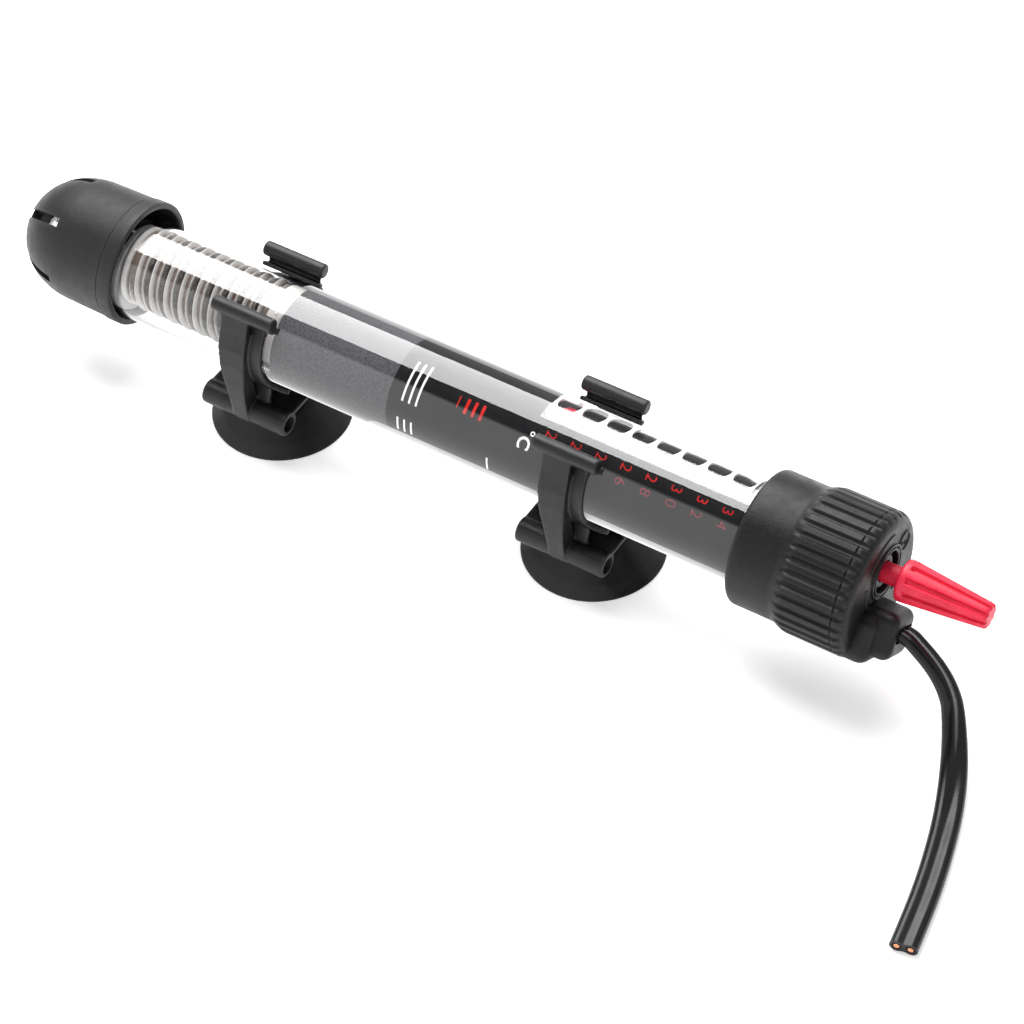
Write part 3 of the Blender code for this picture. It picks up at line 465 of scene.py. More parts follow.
def glass_look():
    """Clear tube glass, which lets shadow and diffuse rays straight through."""
    look = Look("look_glass")
    look.finish(
        Base_Color=GLASS_TINT, Transmission_Weight=1.0, IOR=GLASS_IOR,
        Roughness=look.mottle(0.0, 0.012, scale=35.0, detail=4.0, roughness=0.6, at=(0.4, 0.9)),
        Normal=look.bump(look.noise(scale=16.0, detail=1.0, roughness=0.4),
                         strength=0.02, depth=0.0003))
    ray = look.node("LightPath").outputs
    lighting = look.math('MAXIMUM', ray["Is Shadow Ray"], ray["Is Diffuse Ray"])
    passing = look.node("BsdfTransparent", Color=(0.97, 0.97, 0.97)).outputs[0]

    # the round end inside the guard is seen along its thin wall, so it is drawn as thin glass
    place = look.split(look.coords)
    round_end = look.math('LESS_THAN', place["X"], 17.5 * UNIT)
    thin_clear = look.node("BsdfTransparent", Color=(0.96, 0.965, 0.97)).outputs[0]
    thin_gloss = look.node("BsdfGlossy", Roughness=0.03).outputs[0]
    thin_fresnel = look.node("Fresnel", IOR=1.3).outputs[0]
    thin = look.mix_shader(look.math('MINIMUM', thin_fresnel, 0.35), thin_clear, thin_gloss)
    body = look.mix_shader(round_end, look.principled.outputs["BSDF"], thin)

    # over the printed films the studio's reflection is a painted reflection: an emission worked out
    # from the ray's direction, which keeps it smooth; only the lamp's part of it is a true
    # reflection, drawn a quarter stronger
    mirrored = look.split(look.node("TexCoord").outputs["Reflection"])
    turn = look.turn(mirrored)
    studio = look.ramp(turn, half_turns(PAINTED_STUDIO_REFLECTION))
    # painted reflection: the floor below the horizon at 1.9, the studio above it from the ramp
    seen = look.mix(look.math('GREATER_THAN', mirrored["Z"], 0.0), (1.9, 1.9, 1.9), studio)
    painted_reflection_emission = look.node("Emission", Color=seen).outputs[0]
    gloss = look.node("BsdfGlossy", Roughness=0.01, Color=(1.25, 1.25, 1.25)).outputs[0]
    lamp = look.math('MULTIPLY', look.math('GREATER_THAN', turn, 30.0 / 180.0),
                     look.math('LESS_THAN', turn, 97.0 / 180.0))
    mirror = look.mix_shader(lamp, painted_reflection_emission, gloss)
    bend = look.node("BsdfRefraction", Color=GLASS_TINT, IOR=GLASS_IOR, Roughness=0.0).outputs[0]
    fresnel = look.node("Fresnel", IOR=GLASS_IOR).outputs[0]
    over_films = look.mix_shader(fresnel, bend, mirror)

    backfacing = look.node("NewGeometry").outputs["Backfacing"]
    use = look.math('MULTIPLY', ray["Is Camera Ray"],
                    look.math('GREATER_THAN', place["X"], 84.0 * UNIT))
    use = look.math('MULTIPLY', use, look.math('SUBTRACT', 1.0, backfacing))
    whole = look.mix_shader(use, body, over_films)
    look.feed(look.mix_shader(lighting, whole, passing),
              look.tree.nodes["Material Output"].inputs["Surface"])
    return look.material


def matt(look, color, rough, rough_scale, relief_scale, bump, depth=0.00003):
    """Finishes a matt film or print."""
    return look.finish(Base_Color=color, Roughness=look.mottle(*rough, scale=rough_scale),
                       Normal=look.bump(look.noise(relief_scale), bump, depth),
                       Specular_IOR_Level=0.05)


def liner_look():
    """Grey film with a fine dark dot screen."""
    look = Look("look_liner")
    vector = look.node("Mapping", Vector=look.coords).outputs["Vector"]
    dots = look.node("TexVoronoi", Scale=1500.0, Vector=vector).outputs["Distance"]
    color = look.ramp(dots, [(0.15, (0.040, 0.040, 0.043)), (0.55, (0.085, 0.085, 0.090))])
    cloud = look.mottle(0.0, 1.0, scale=50.0, detail=4.0, at=(0.35, 0.75))
    color = look.tint(cloud, 0.4, color, (0.05, 0.05, 0.054))
    return matt(look, color, rough=(0.42, 0.58), rough_scale=300.0, relief_scale=120.0, bump=0.05)


def sleeve_look():
    look = Look("look_sleeve")
    color = look.mottle((0.007, 0.007, 0.008), (0.012, 0.012, 0.013), scale=70.0, detail=4.0)
    speck = look.mottle(0.0, 1.0, scale=2400.0, detail=2.0, roughness=0.6, at=(0.6, 0.8))
    color = look.tint(speck, 0.25, color, (0.05, 0.05, 0.052))
    return matt(look, color, rough=(0.46, 0.56), rough_scale=90.0, relief_scale=110.0, bump=0.05)


def white_look(name, low, high):
    look = Look(name)
    color = look.mottle(low, high, scale=80.0, detail=4.0)
    return matt(look, color, rough=(0.40, 0.55), rough_scale=400.0, relief_scale=1800.0, bump=0.1)


def red_print(name, low, high):
    look = Look(name)
    color = look.mottle(low, high, scale=500.0)
    return matt(look, color, rough=(0.42, 0.6), rough_scale=500.0, relief_scale=1800.0,
                bump=0.2, depth=0.00002)


def ceramic_look():
    """Fired ceramic, darker brown in the hollows between the ridges, where the hot wire lies."""
    look = Look("look_ceramic")
    color = look.mottle((0.50, 0.48, 0.455), (0.66, 0.645, 0.63),
                        scale=260.0, detail=5.0, roughness=0.6)
    place = look.split(look.coords)
    y = look.math('SUBTRACT', place["Y"], CORE_Y * UNIT)
    z = look.math('SUBTRACT', place["Z"], CORE_Z * UNIT)
    square = look.math('ADD', look.math('MULTIPLY', y, y), look.math('MULTIPLY', z, z))
    deep = look.node("MapRange", From_Min=10.35 * UNIT, From_Max=9.5 * UNIT,
                     Value=look.math('SQRT', square)).outputs["Result"]
    patchy = look.mottle(0.72, 1.0, scale=90.0, detail=4.0, roughness=0.7, at=(0.25, 0.6))
    color = look.mix(look.math('MULTIPLY', deep, patchy), color, (0.105, 0.062, 0.045))
    height = look.relief(look.noise(scale=1200.0, detail=4.0, roughness=0.7),
                         look.noise(scale=200.0), share=0.5)
    return look.finish(Base_Color=color, Roughness=look.mottle(0.62, 0.85, scale=500.0),
                       Normal=look.bump(height, strength=0.5, depth=0.00008))


def metal(name, low, high, rough=(0.22, 0.38)):
    """Metal brushed along X, with darker spots."""
    look = Look(name)
    brushing = look.node("Mapping", Scale=(40, 900, 900), Vector=look.coords).outputs["Vector"]
    streaks = look.noise(scale=1.0, roughness=0.6, vector=brushing)
    color = look.ramp(streaks, [(0.3, low), (0.7, high)])
    spots = look.mottle(0.0, 1.0, scale=700.0, at=(0.6, 0.8))
    color = look.tint(spots, 0.3, color, tuple(c * 0.5 for c in low))
    return look.finish(Base_Color=color, Roughness=look.mottle(*rough, scale=260.0),
                       Normal=look.bump(streaks, strength=0.25, depth=0.00003), Metallic=1.0)


# the edge colours below are painted highlights along sharp edges
LOOKS = {
    "guard": moulded("look_guard", dark=(0.0070, 0.0070, 0.0076), light=(0.0115, 0.0115, 0.0125),
                     rough=(0.44, 0.56), grain=3000, bump=0.8, depth=0.00008, cloud=45,
                     edge=(0.030, 0.030, 0.033), specular=0.31),
    "head": moulded("look_head", dark=(0.0035, 0.0035, 0.004), light=(0.006, 0.006, 0.0065),
                    rough=(0.38, 0.50), grain=2600, bump=0.8, depth=0.00008, cloud=70,
                    edge=(0.034, 0.034, 0.036), specular=0.25),
    "clip": moulded("look_clip", dark=(0.0060, 0.0060, 0.0064), light=(0.010, 0.010, 0.011),
                    rough=(0.36, 0.48), grain=2200, bump=0.4, depth=0.00005, cloud=80,
                    edge=(0.042, 0.042, 0.044), specular=0.30),
    "inner": moulded("look_inner", dark=(0.05, 0.05, 0.055), light=(0.09, 0.09, 0.095),
                     rough=(0.45, 0.6), grain=2200, bump=0.35, depth=0.00004, cloud=60),
    "seal": moulded("look_seal", dark=(0.02, 0.02, 0.02), light=(0.035, 0.035, 0.035),
                    rough=(0.6, 0.75), grain=2000, bump=0.5, depth=0.00006, cloud=90),
    "cup": cup_look(),
    "red": red_look(),
    "cord": cord_look(),
    "glass": glass_look(),
    "liner": liner_look(),
    "sleeve": sleeve_look(),
    "white": white_look("look_white_strip", (0.80, 0.80, 0.81), (0.88, 0.88, 0.89)),
    "print_white": white_look("look_print_white", (0.82, 0.82, 0.83), (0.90, 0.90, 0.91)),
    "label": white_look("look_label", (0.30, 0.30, 0.31), (0.39, 0.39, 0.40)),
    "print_red": red_print("look_print_red", (0.42, 0.012, 0.012), (0.56, 0.03, 0.025)),
    "print_pink": red_print("look_print_pink", (0.18, 0.018, 0.030), (0.26, 0.03, 0.045)),
    "ceramic": ceramic_look(),
    "wire": metal("look_resistance_wire", (0.055, 0.048, 0.045), (0.16, 0.145, 0.14),
                  rough=(0.35, 0.5)),
    "steel": metal("look_steel", (0.42, 0.42, 0.43), (0.62, 0.62, 0.63)),
    "brass": metal("look_brass", (0.55, 0.38, 0.15), (0.76, 0.56, 0.26)),
    "copper": metal("look_copper", (0.66, 0.26, 0.13), (0.86, 0.42, 0.25)),
    "board": moulded("look_board", dark=(0.16, 0.075, 0.03), light=(0.26, 0.13, 0.06),
                     rough=(0.45, 0.6), grain=1500, bump=0.4, depth=0.00005, cloud=40),
    "mica": moulded("look_mica", dark=(0.24, 0.24, 0.25), light=(0.36, 0.36, 0.37),
                    rough=(0.3, 0.5), grain=900, bump=0.3, depth=0.00005, cloud=120),
    "magnet": moulded("look_magnet", dark=(0.06, 0.06, 0.065), light=(0.11, 0.11, 0.12),
                      rough=(0.35, 0.5), grain=1500, bump=0.4, depth=0.00005, cloud=90),
    "lead": moulded("look_lead", dark=(0.60, 0.60, 0.58), light=(0.75, 0.75, 0.73),
                    rough=(0.4, 0.55), grain=900, bump=0.2, depth=0.00004, cloud=80),
    "lamp": moulded("look_lamp", dark=(0.60, 0.22, 0.10), light=(0.80, 0.36, 0.18),
                    rough=(0.08, 0.2), grain=300, bump=0.1, depth=0.00002, cloud=200),
}

# CAD nodes that stay, by material
KEPT_NODES = {
    "mica": ("core_disc_tip", "core_disc_head"),
    "steel": ("return_wire", "bimetal_strip"),
    "board": ("terminal_block", "lamp_resistor"),
    "brass": ("contact_arm", "bimetal_contact", "arm_contact", "adjusting_spindle",
              "crimp_live", "crimp_neutral"),
    "magnet": ("snap_magnet",),
    "inner": ("thermostat_carrier", "pointer_deck"),
    "lamp": ("indicator_lamp",),
    "seal": ("tube_seal_ring", "spindle_seal_ring", "head_seal_plug"),
    "head": ("spindle_bush",),
    "copper": ("cord_core_live", "cord_core_neutral"),
    "lead": ("lead_wire_live", "lead_wire_neutral"),
    "red": ("pointer_nut",),
}


def dress_kept_nodes():
    for look, names in KEPT_NODES.items():
        for name in names:
            materials = NODES[name].data.materials
            materials.clear()
            materials.append(LOOKS[look])


# ------------------------------------------------------------ end guard (x from its tip)
GUARD_Y, GUARD_Z = 1.28, 0.98
GUARD_LENGTH = 38.46 - TIP_X
SLOTS, SLOT_COLUMNS = 6, 20            # each slot's sector has so many columns
SLOT_ANGLE = 126.0                     # middle of the first slot
SLOT_W = 2.5
SLOT_R0 = 5.2                          # radius at which the slots begin
SLOT_END = 17.9 - TIP_X
DOME_LENGTH, DOME_R0, DOME_R1 = 19.4, 3.0, 16.9
DOME_POWER_X, DOME_POWER_R = 2.29, 1.673
# (r, distance back from the rim), over the outside and in round the rim
GUARD_RIM = [(17.10, 4.75), (17.12, 4.55), (17.02, 4.5), (17.02, 4.3), (17.20, 4.2),
             (17.36, 4.05), (17.38, 3.7), (17.40, 1.8), (17.40, 0.75), (17.36, 0.4),
             (17.22, 0.16), (17.0, 0.03), (16.8, 0.0), (16.2, 0.0), (15.95, 0.05),
             (15.75, 0.22), (15.62, 0.5), (15.6, 1.2)]


def dome_r(x):
    t = 1.0 - x / DOME_LENGTH
    return DOME_R0 + (DOME_R1 - DOME_R0) * (1.0 - t ** DOME_POWER_X) ** (1.0 / DOME_POWER_R)


def dome_x(r):
    share = (r - DOME_R0) / (DOME_R1 - DOME_R0)
    return DOME_LENGTH * (1.0 - (1.0 - share ** DOME_POWER_R) ** (1.0 / DOME_POWER_X))


def guard_inside(r, x):
    """The inner row that matches an outer one; near the tip it follows a flatter floor."""
    if x < 3.6:
        t = x / 3.6
        return max(3.6, r - 1.6), 2.4 + 0.35 * t + 0.5 * t * t
    return 15.6 * (1.0 - (1.0 - (x - 2.4) / 18.4) ** 2.3) ** 0.588, x


def guard():
    # outside, from the tip to the rim; a row lies exactly on each slot end
    stations = [DOME_LENGTH * (i / 26.0) ** 2.0 for i in range(27)]
    outer = [(0.6, 0.0), (1.8, 0.0)]
    outer += [(dome_r(x), x) for x in stations if dome_r(x) <= SLOT_R0 - 0.3]
    out_start = len(outer)
    start = dome_x(SLOT_R0)
    slot_rows = [start + (SLOT_END - start) * (i / 20.0) ** 1.7 for i in range(20)] + [SLOT_END]
    outer += [(dome_r(x), x) for x in slot_rows]
    out_end = len(outer) - 1
    outer += [(dome_r(x), x) for x in (16.4, 17.4, 18.4, DOME_LENGTH)]
    outer += [(16.95, 21.0), (17.0, 24.0), (17.05, 27.5)]
    outer += [(r, GUARD_LENGTH - back) for r, back in GUARD_RIM]

    # inside, from the rim to the tip; matching rows let the slot walls bridge one to one
    straight = [(15.6, x) for x in (30.0, 26.0, 22.5, 20.8)]
    matching = [guard_inside(r, x) for r, x in outer[out_start:out_end + 1][::-1]]
    rows = outer + straight + matching + [(2.6, 2.4), (0.6, 2.4)]
    in_end = len(outer) + len(straight)
    in_start = in_end + len(matching) - 1

    n = SLOTS * SLOT_COLUMNS
    sector = 360.0 / SLOTS
    verts = []
    for k, (r, x) in enumerate(rows):
        # share by which the columns gather on the slot edges
        if k < out_start:
            gather = smoothstep(0.0, 1.0, k / float(out_start))
        elif out_end < k < in_end:
            gather = max(0.0, 1.0 - min(k - out_end, in_end - k) / 6.0)
        else:
            gather = 1.0
        half = min(math.degrees(math.asin(min(0.95, 0.5 * SLOT_W / max(r, 1.8)))), 22.0)
        for j in range(n):
            q, i = divmod(j, SLOT_COLUMNS)
            # columns 0 and 2 are the slot's edges, 1 is its middle
            if i <= 2:
                gathered = (i - 1) * half
            else:
                gathered = half + (sector - 2 * half) * (i - 2) / (SLOT_COLUMNS - 2)
            even = (i - 1) * sector / SLOT_COLUMNS
            turn = gather * gathered + (1.0 - gather) * even
            y, z = polar(r, SLOT_ANGLE + sector * q + turn)
            verts.append((x + TIP_X, GUARD_Y + y, GUARD_Z + z))

    def in_slot(i, j):
        return j % SLOT_COLUMNS < 2 and (out_start <= i < out_end or in_end <= i < in_start)

    faces = grid_faces(len(rows), n, skip=in_slot) + end_caps(len(rows), n)
    for first in range(0, n, SLOT_COLUMNS):
        for j in (first, first + 2):
            for k in range(out_end - out_start):
                out_k = (out_start + k) * n + j
                in_k = (in_start - k) * n + j
                faces.append((out_k, out_k + n, in_k - n, in_k))
        for out_row, in_row in ((out_start, in_start), (out_end, in_end)):
            for j in (first, first + 1):
                a, b = out_row * n + j, in_row * n + j
                faces.append((a, a + 1, b + 1, b))
    add_piece("guard_shell", (verts, faces), "guard", 38.0, ("end_guard_cap",))


# ------------------------------------------------------------ glass tube
TUBE_X0, TUBE_X1 = 8.0, 247.0          # the round end's pole and the open end
TUBE_STATIONS = [30.0, 60.0, 100.0, 140.0, 180.0, 220.0]


def glass_tube():
    def round_end(r, i):
        return polar(r, 90.0 * i / 20)[1], TUBE_X0 + TUBE_R - polar(r, 90.0 * i / 20)[0]

    profile = [(0.25, TUBE_X0)] + [round_end(TUBE_R, i) for i in range(1, 21)]
    profile += [(TUBE_R, x) for x in TUBE_STATIONS]
    profile += [(TUBE_R, TUBE_X1 - 0.3), (TUBE_R - 0.25, TUBE_X1),
                (BORE_R + 0.25, TUBE_X1), (BORE_R, TUBE_X1 - 0.3)]
    profile += [(BORE_R, x) for x in TUBE_STATIONS[::-1]]
    profile += [round_end(BORE_R, i) for i in range(20, 0, -1)] + [(0.25, TUBE_X0 + 1.2)]
    add_piece("glass_envelope", lathe(profile, 128), "glass", 60.0, ("glass_tube",))


# ------------------------------------------------------------ films inside the tube
# The films are laid just inside the wall's glass, where they look as wide as the tube does.
FILM_R, FILM_BACK_R = 12.75, 12.20
FREE_R = 12.0                          # a film of this radius would hang free in the bore
VIEW_ANGLE = 127.5                     # direction of the camera round the tube
SEAM, SEAM_GAP = 160.0, 0.08           # the films' seam and half its opening, in degrees
SLEEVE_X0, SLEEVE_X1 = 124.5, 234.4
OPENING_X = 165.1                      # from here on the sleeve leaves room for the strip
STRIP_ANGLE, STRIP_HALF = 65.6, 35.8   # middle and half width, in degrees
STRIP_GAP = math.degrees(0.35 / FILM_R)
STRIP_X0, STRIP_X1 = 165.5, 234.0
STRIP_CORNER = 3.2
WINDOWS, WINDOW_X, WINDOW_PITCH = 8, 169.4, 7.29
WINDOW_R, WINDOW_HALF = 3.1, 4.05      # half lengths along X and along the arc
WINDOW_SHIFT = 0.5                     # from the strip's middle, along the arc
PATCH_HALF = 4.25                      # half length along the arc of a window's mesh patch


def sheet(x0, x1, a0, a1, along, around, r_out=FILM_R, r_in=FILM_BACK_R, corner=0.0):
    """A thin closed sheet wrapped round the tube's axis, with its x0 corners rounded."""
    arc_length = math.radians(a1 - a0) * FILM_R
    verts = []
    for r in (r_out, r_in):
        for i in range(along + 1):
            for j in range(around + 1):
                u, w = i / along, j / around
                edge = min(w, 1.0 - w) * arc_length
                cut = 0.0
                if edge < corner:
                    cut = corner - math.sqrt(max(0.0, corner ** 2 - (corner - edge) ** 2))
                verts.append((x0 + u * (x1 - x0) + cut * (1.0 - u) ** 8,
                              *polar(r, a0 + w * (a1 - a0))))
    cols = around + 1
    layer = (along + 1) * cols
    faces = []
    for i in range(along):
        for j in range(around):
            a = i * cols + j
            quad = (a, a + 1, a + cols + 1, a + cols)
            faces += [quad, tuple(k + layer for k in quad[::-1])]
    rim = list(range(cols)) + [i * cols + around for i in range(1, along + 1)]
    rim += [along * cols + j for j in range(around - 1, -1, -1)]
    rim += [i * cols for i in range(along - 1, 0, -1)]
    faces += [(a, a + layer, b + layer, b) for a, b in zip(rim, rim[1:] + rim[:1])]
    return verts, faces


def films():
    seam_start, seam_end = SEAM + SEAM_GAP, SEAM - SEAM_GAP
    liner = sheet(88.2, 124.42, seam_start, 360.0 + seam_end, 30, 120)
    add_piece("liner_film", liner, "liner", 50.0, ("grey_liner",))
    edge = STRIP_HALF + STRIP_GAP
    sleeve = merge([
        sheet(SLEEVE_X0, OPENING_X, seam_start, 360.0 + seam_end, 30, 120),
        sheet(OPENING_X, SLEEVE_X1, STRIP_ANGLE + edge, seam_end, 30, 20),
        sheet(OPENING_X, SLEEVE_X1, seam_start, 360.0 + STRIP_ANGLE - edge, 30, 90)])
    add_piece("sleeve_film", sleeve, "sleeve", 50.0, ("printed_sleeve",))


def scale_strip():
    """The white strip with its row of oval windows, laid out flat as (x, arc) and then bent."""
    half_width = math.radians(STRIP_HALF) * FILM_R
    flat, faces, index = [], [], {}

    def vertex(x, s):
        over = abs(s) - (half_width - STRIP_CORNER)
        if over > 0 and x < STRIP_X0 + 12.0:
            cut = STRIP_CORNER - math.sqrt(max(0.0, STRIP_CORNER ** 2 - over * over))
            x = x + cut * (1.0 - (x - STRIP_X0) / 12.0)
        key = (round(x + 0.00013, 3), round(s + 0.00013, 3))
        if key not in index:
            index[key] = len(flat)
            flat.append((x, s))
        return index[key]

    # a patch round each window: rings from the window's edge to the patch's
    steps = 8
    around = 4 * steps
    half = 0.5 * WINDOW_PITCH
    for k in range(WINDOWS):
        centre = WINDOW_X + k * WINDOW_PITCH
        square, oval = [], []
        for i in range(around):
            side, step = divmod(i, steps)
            run = WINDOW_PITCH * (step / steps)
            x, y = [(-half + run, -half), (half, -half + run),
                    (half - run, half), (-half, half - run)][side]
            square.append((centre + x, WINDOW_SHIFT + y * PATCH_HALF / half))
            a = math.atan2(y, x)
            oval.append((centre + WINDOW_R * math.cos(a),
                         WINDOW_SHIFT + WINDOW_HALF * math.sin(a)))
        rings = [[vertex(c[0] + (b[0] - c[0]) * t, c[1] + (b[1] - c[1]) * t)
                  for c, b in zip(oval, square)] for t in (0.0, 0.04, 0.3, 0.65, 1.0)]
        for r0, r1 in zip(rings, rings[1:]):
            for i in range(around):
                j = (i + 1) % around
                faces.append((r0[i], r0[j], r1[j], r1[i]))

    # a plain grid round the patches
    left = WINDOW_X - half
    right = WINDOW_X + (WINDOWS - 1) * WINDOW_PITCH + half
    grid_x = [STRIP_X0, STRIP_X0 + 0.5 * (left - STRIP_X0)]
    grid_x += [left + WINDOW_PITCH * i / steps for i in range(WINDOWS * steps + 1)]
    grid_x += [right + (STRIP_X1 - right) * i / 6.0 for i in range(1, 7)]
    s0, s1 = WINDOW_SHIFT - PATCH_HALF, WINDOW_SHIFT + PATCH_HALF
    grid_s = [-half_width + (s0 + half_width) * i / 10.0 for i in range(10)]
    grid_s += [s0 + 2.0 * PATCH_HALF * i / steps for i in range(steps + 1)]
    grid_s += [s1 + (half_width - s1) * i / 10.0 for i in range(1, 11)]
    for xa, xb in zip(grid_x, grid_x[1:]):
        for sa, sb in zip(grid_s, grid_s[1:]):
            if s0 < 0.5 * (sa + sb) < s1 and left < 0.5 * (xa + xb) < right:
                continue
            faces.append((vertex(xa, sa), vertex(xb, sa), vertex(xb, sb), vertex(xa, sb)))

    def bent(r):
        middle = math.radians(STRIP_ANGLE)
        return [(x, r * math.cos(middle + s / FILM_R), r * math.sin(middle + s / FILM_R))
                for x, s in flat]

    n = len(flat)
    faces = [face for face in faces if len(set(face)) > 2]
    edges = dict.fromkeys(pair for face in faces for pair in zip(face, face[1:] + face[:1]))
    border = [(a, b) for a, b in edges if (b, a) not in edges]
    closed = faces + [tuple(i + n for i in face[::-1]) for face in faces]
    closed += [(a, a + n, b + n, b) for a, b in border]
    add_piece("strip_white", (bent(FILM_R) + bent(FILM_BACK_R), closed), "white", 45.0,
              ("scale_strip",))


# ------------------------------------------------------------ printing on the sleeve
PRINT_R = FILM_R + 0.04
PRINT_THICK = 0.025                    # half the print's thickness


def on_film(degrees):
    """Angle on the clinging film that shows where a mark on the free film would show."""
    offset = FREE_R * math.sin(math.radians(VIEW_ANGLE - degrees))
    bent = offset / 1.47
    turn = math.asin(offset / TUBE_R) + math.asin(bent / FILM_R) - math.asin(bent / TUBE_R)
    return VIEW_ANGLE - math.degrees(turn)


def add_print(name, me, material, x, degrees):
    """Bends a flat mesh (its x along the arc, its y along +X) on to the sleeve's outside."""
    for vertex in me.vertices:
        s, up, height = vertex.co
        a = math.radians(on_film(degrees)) + s / FILM_R
        r = PRINT_R + height
        vertex.co = (x + up, r * math.cos(a), r * math.sin(a))
    add_mesh(name, me, material, 40.0, slot="printed_sleeve", weld=0.0005)


def text_mesh(text, size, bold):
    curve = bpy.data.curves.new("txt", 'FONT')
    curve.body = text
    curve.size = size
    curve.align_x = 'CENTER'
    curve.align_y = 'CENTER'
    curve.extrude = PRINT_THICK
    curve.offset = bold
    curve.resolution_u = 4
    ob = bpy.data.objects.new("txt", curve)
    bpy.context.scene.collection.objects.link(ob)
    return carved(ob, [])


def bar_mesh(width, height, n):
    """A bar, width along the arc and height along the tube, in n pieces so that it bends."""
    bm = bmesh.new()
    rows = [[[bm.verts.new((-width / 2 + width * i / n, y, z)) for i in range(n + 1)]
             for y in (-height / 2, height / 2)] for z in (PRINT_THICK, -PRINT_THICK)]
    top, bottom = rows
    strips = [tuple(layer) for layer in rows] + list(zip(top, bottom))
    for a, b in strips:
        for i in range(n):
            bm.faces.new((a[i], a[i + 1], b[i + 1], b[i]))
    for i in (0, n):
        bm.faces.new((top[0][i], top[1][i], bottom[1][i], bottom[0][i]))
    bmesh.ops.recalc_face_normals(bm, faces=bm.faces)
    me = bpy.data.meshes.new("bar")
    bm.to_mesh(me)
    bm.free()
    return me


# Bars: name, arc in degrees, length along X, pieces, material, x, angle
BARS = []
for i in range(3):
    BARS += [("mark_upper_%d" % i, 52.0, 0.58, 24, "print_white", 128.6 + 2.05 * i, 124.5),
             ("mark_lower_%d" % i, 20.0, 0.55, 10, "print_white", 128.1 + 2.05 * i, 188.0)]
BARS.append(("mark_short", 20.0, 0.5, 8, "print_white", 155.2, 192.0))
BARS += [("mark_red_%d" % i, 19.0, 0.85, 8, "print_red", 146.2 + 2.3 * i, 126.0)
         for i in range(3)]
BARS.append(("mark_red_thin", 15.0, 0.3, 8, "print_red", 143.6, 124.5))


def printing():
    for k in range(WINDOWS):
        tens, ones = str(20 + 2 * k)
        x = WINDOW_X + k * WINDOW_PITCH + 0.9
        add_print("digit_a_%d" % k, text_mesh(tens, size=4.3, bold=-0.045), "print_red", x, 117.5)
        add_print("digit_b_%d" % k, text_mesh(ones, size=4.3, bold=-0.05), "print_pink", x, 135.5)
    add_print("degree_c", text_mesh("C", size=4.9, bold=0.10), "print_white", 164.2, 139.0)
    add_print("degree_ring", text_mesh("o", size=2.6, bold=0.04), "print_white", 166.0, 125.0)
    for name, degrees, length, pieces, material, x, angle in BARS:
        bar = bar_mesh(FREE_R * math.radians(degrees), length, pieces)
        add_print(name, bar, material, x, angle)


def underside_label():
    """A plain label on the underside, with rounded corners at its low-X end."""
    label = sheet(116.8, 226.0, 193.5, 252.0, 60, 40, FILM_R + 0.07, FILM_R + 0.02, corner=6.0)
    add_piece("underside_label", label, "label", 50.0, slot="printed_sleeve")


# ------------------------------------------------------------ heating element
CORE_X0, CORE_X1 = 37.9, 87.4
CORE_R = 9.3                           # between the ridges
HELIX_X0, HELIX_PITCH = 40.8, 4.70
RIDGES_END = CORE_X1 - 6.6
TURNS = (RIDGES_END - HELIX_X0 - 0.5 * HELIX_PITCH) / HELIX_PITCH
COIL_R, COIL_WIRE_R = 0.70, 0.135


def ridge(u, centre, half_width):
    """A half-round ridge at a share u of the pitch."""
    d = abs((u - centre + 0.5) % 1.0 - 0.5)
    return math.sqrt(1.0 - (d / half_width) ** 2) if d < half_width else 0.0


def ceramic_core():
    n = 112
    # (x, r); the rows with no radius carry the helical ridges
    rows = [(CORE_X0, 2.4), (CORE_X0, 10.4), (CORE_X0 + 0.25, 10.75), (CORE_X0 + 1.1, 10.8),
            (CORE_X0 + 1.4, 10.5), (CORE_X0 + 1.6, CORE_R)]
    x = CORE_X0 + 1.8
    while x < CORE_X1 - 5.0:
        rows.append((x, None))
        x += 0.17
    rows += [(CORE_X1 - 4.9, CORE_R), (CORE_X1 - 4.72, 10.6), (CORE_X1 - 4.45, 10.95),
             (CORE_X1 - 2.4, 11.0), (CORE_X1 - 0.4, 11.0), (CORE_X1 - 0.05, 10.65),
             (CORE_X1, 10.3), (CORE_X1, 2.4)]
    verts = []
    for x, row_r in rows:
        for j in range(n):
            t = j / n
            r = row_r
            if r is None:
                u = ((x - HELIX_X0) / HELIX_PITCH - t) % 1.0
                fade = smoothstep(CORE_X0 + 1.9, CORE_X0 + 2.9, x)
                fade *= 1.0 - smoothstep(RIDGES_END, CORE_X1 - 5.2, x)
                height = max(1.9 * ridge(u, 0.0, 0.10), 1.3 * ridge(u, 0.42, 0.07),
                             0.2 * ridge(u, 0.21, 0.16))
                r = CORE_R + height * fade
            a = 2 * math.pi * t
            verts.append((x, CORE_Y + r * math.cos(a), CORE_Z + r * math.sin(a)))
    add_piece("element_core", (verts, grid_faces(len(rows), n, wrap_rows=True)), "ceramic", 50.0,
              ("ceramic_core", "spacer_helix"))


def heating_coil():
    """A fine coil that is itself wound round the core."""
    coils = int(TURNS * 2 * math.pi * 10.2 / (0.44))
    steps = 8
    points = []
    for i in range(coils * steps + 1):
        a = 2 * math.pi * (i / (coils * steps)) * (TURNS - 0.1)
        phase = 2 * math.pi * i / steps
        r = 10.15 + COIL_R * math.cos(phase)
        x = HELIX_X0 + HELIX_PITCH * (a / (2 * math.pi) + 0.70) + COIL_R * math.sin(phase)
        points.append((x, CORE_Y + r * math.cos(a), CORE_Z + r * math.sin(a)))
    add_piece("element_coil", tube_along(points, COIL_WIRE_R, 5), "wire", None,
              ("heating_coil",), recalc=False)


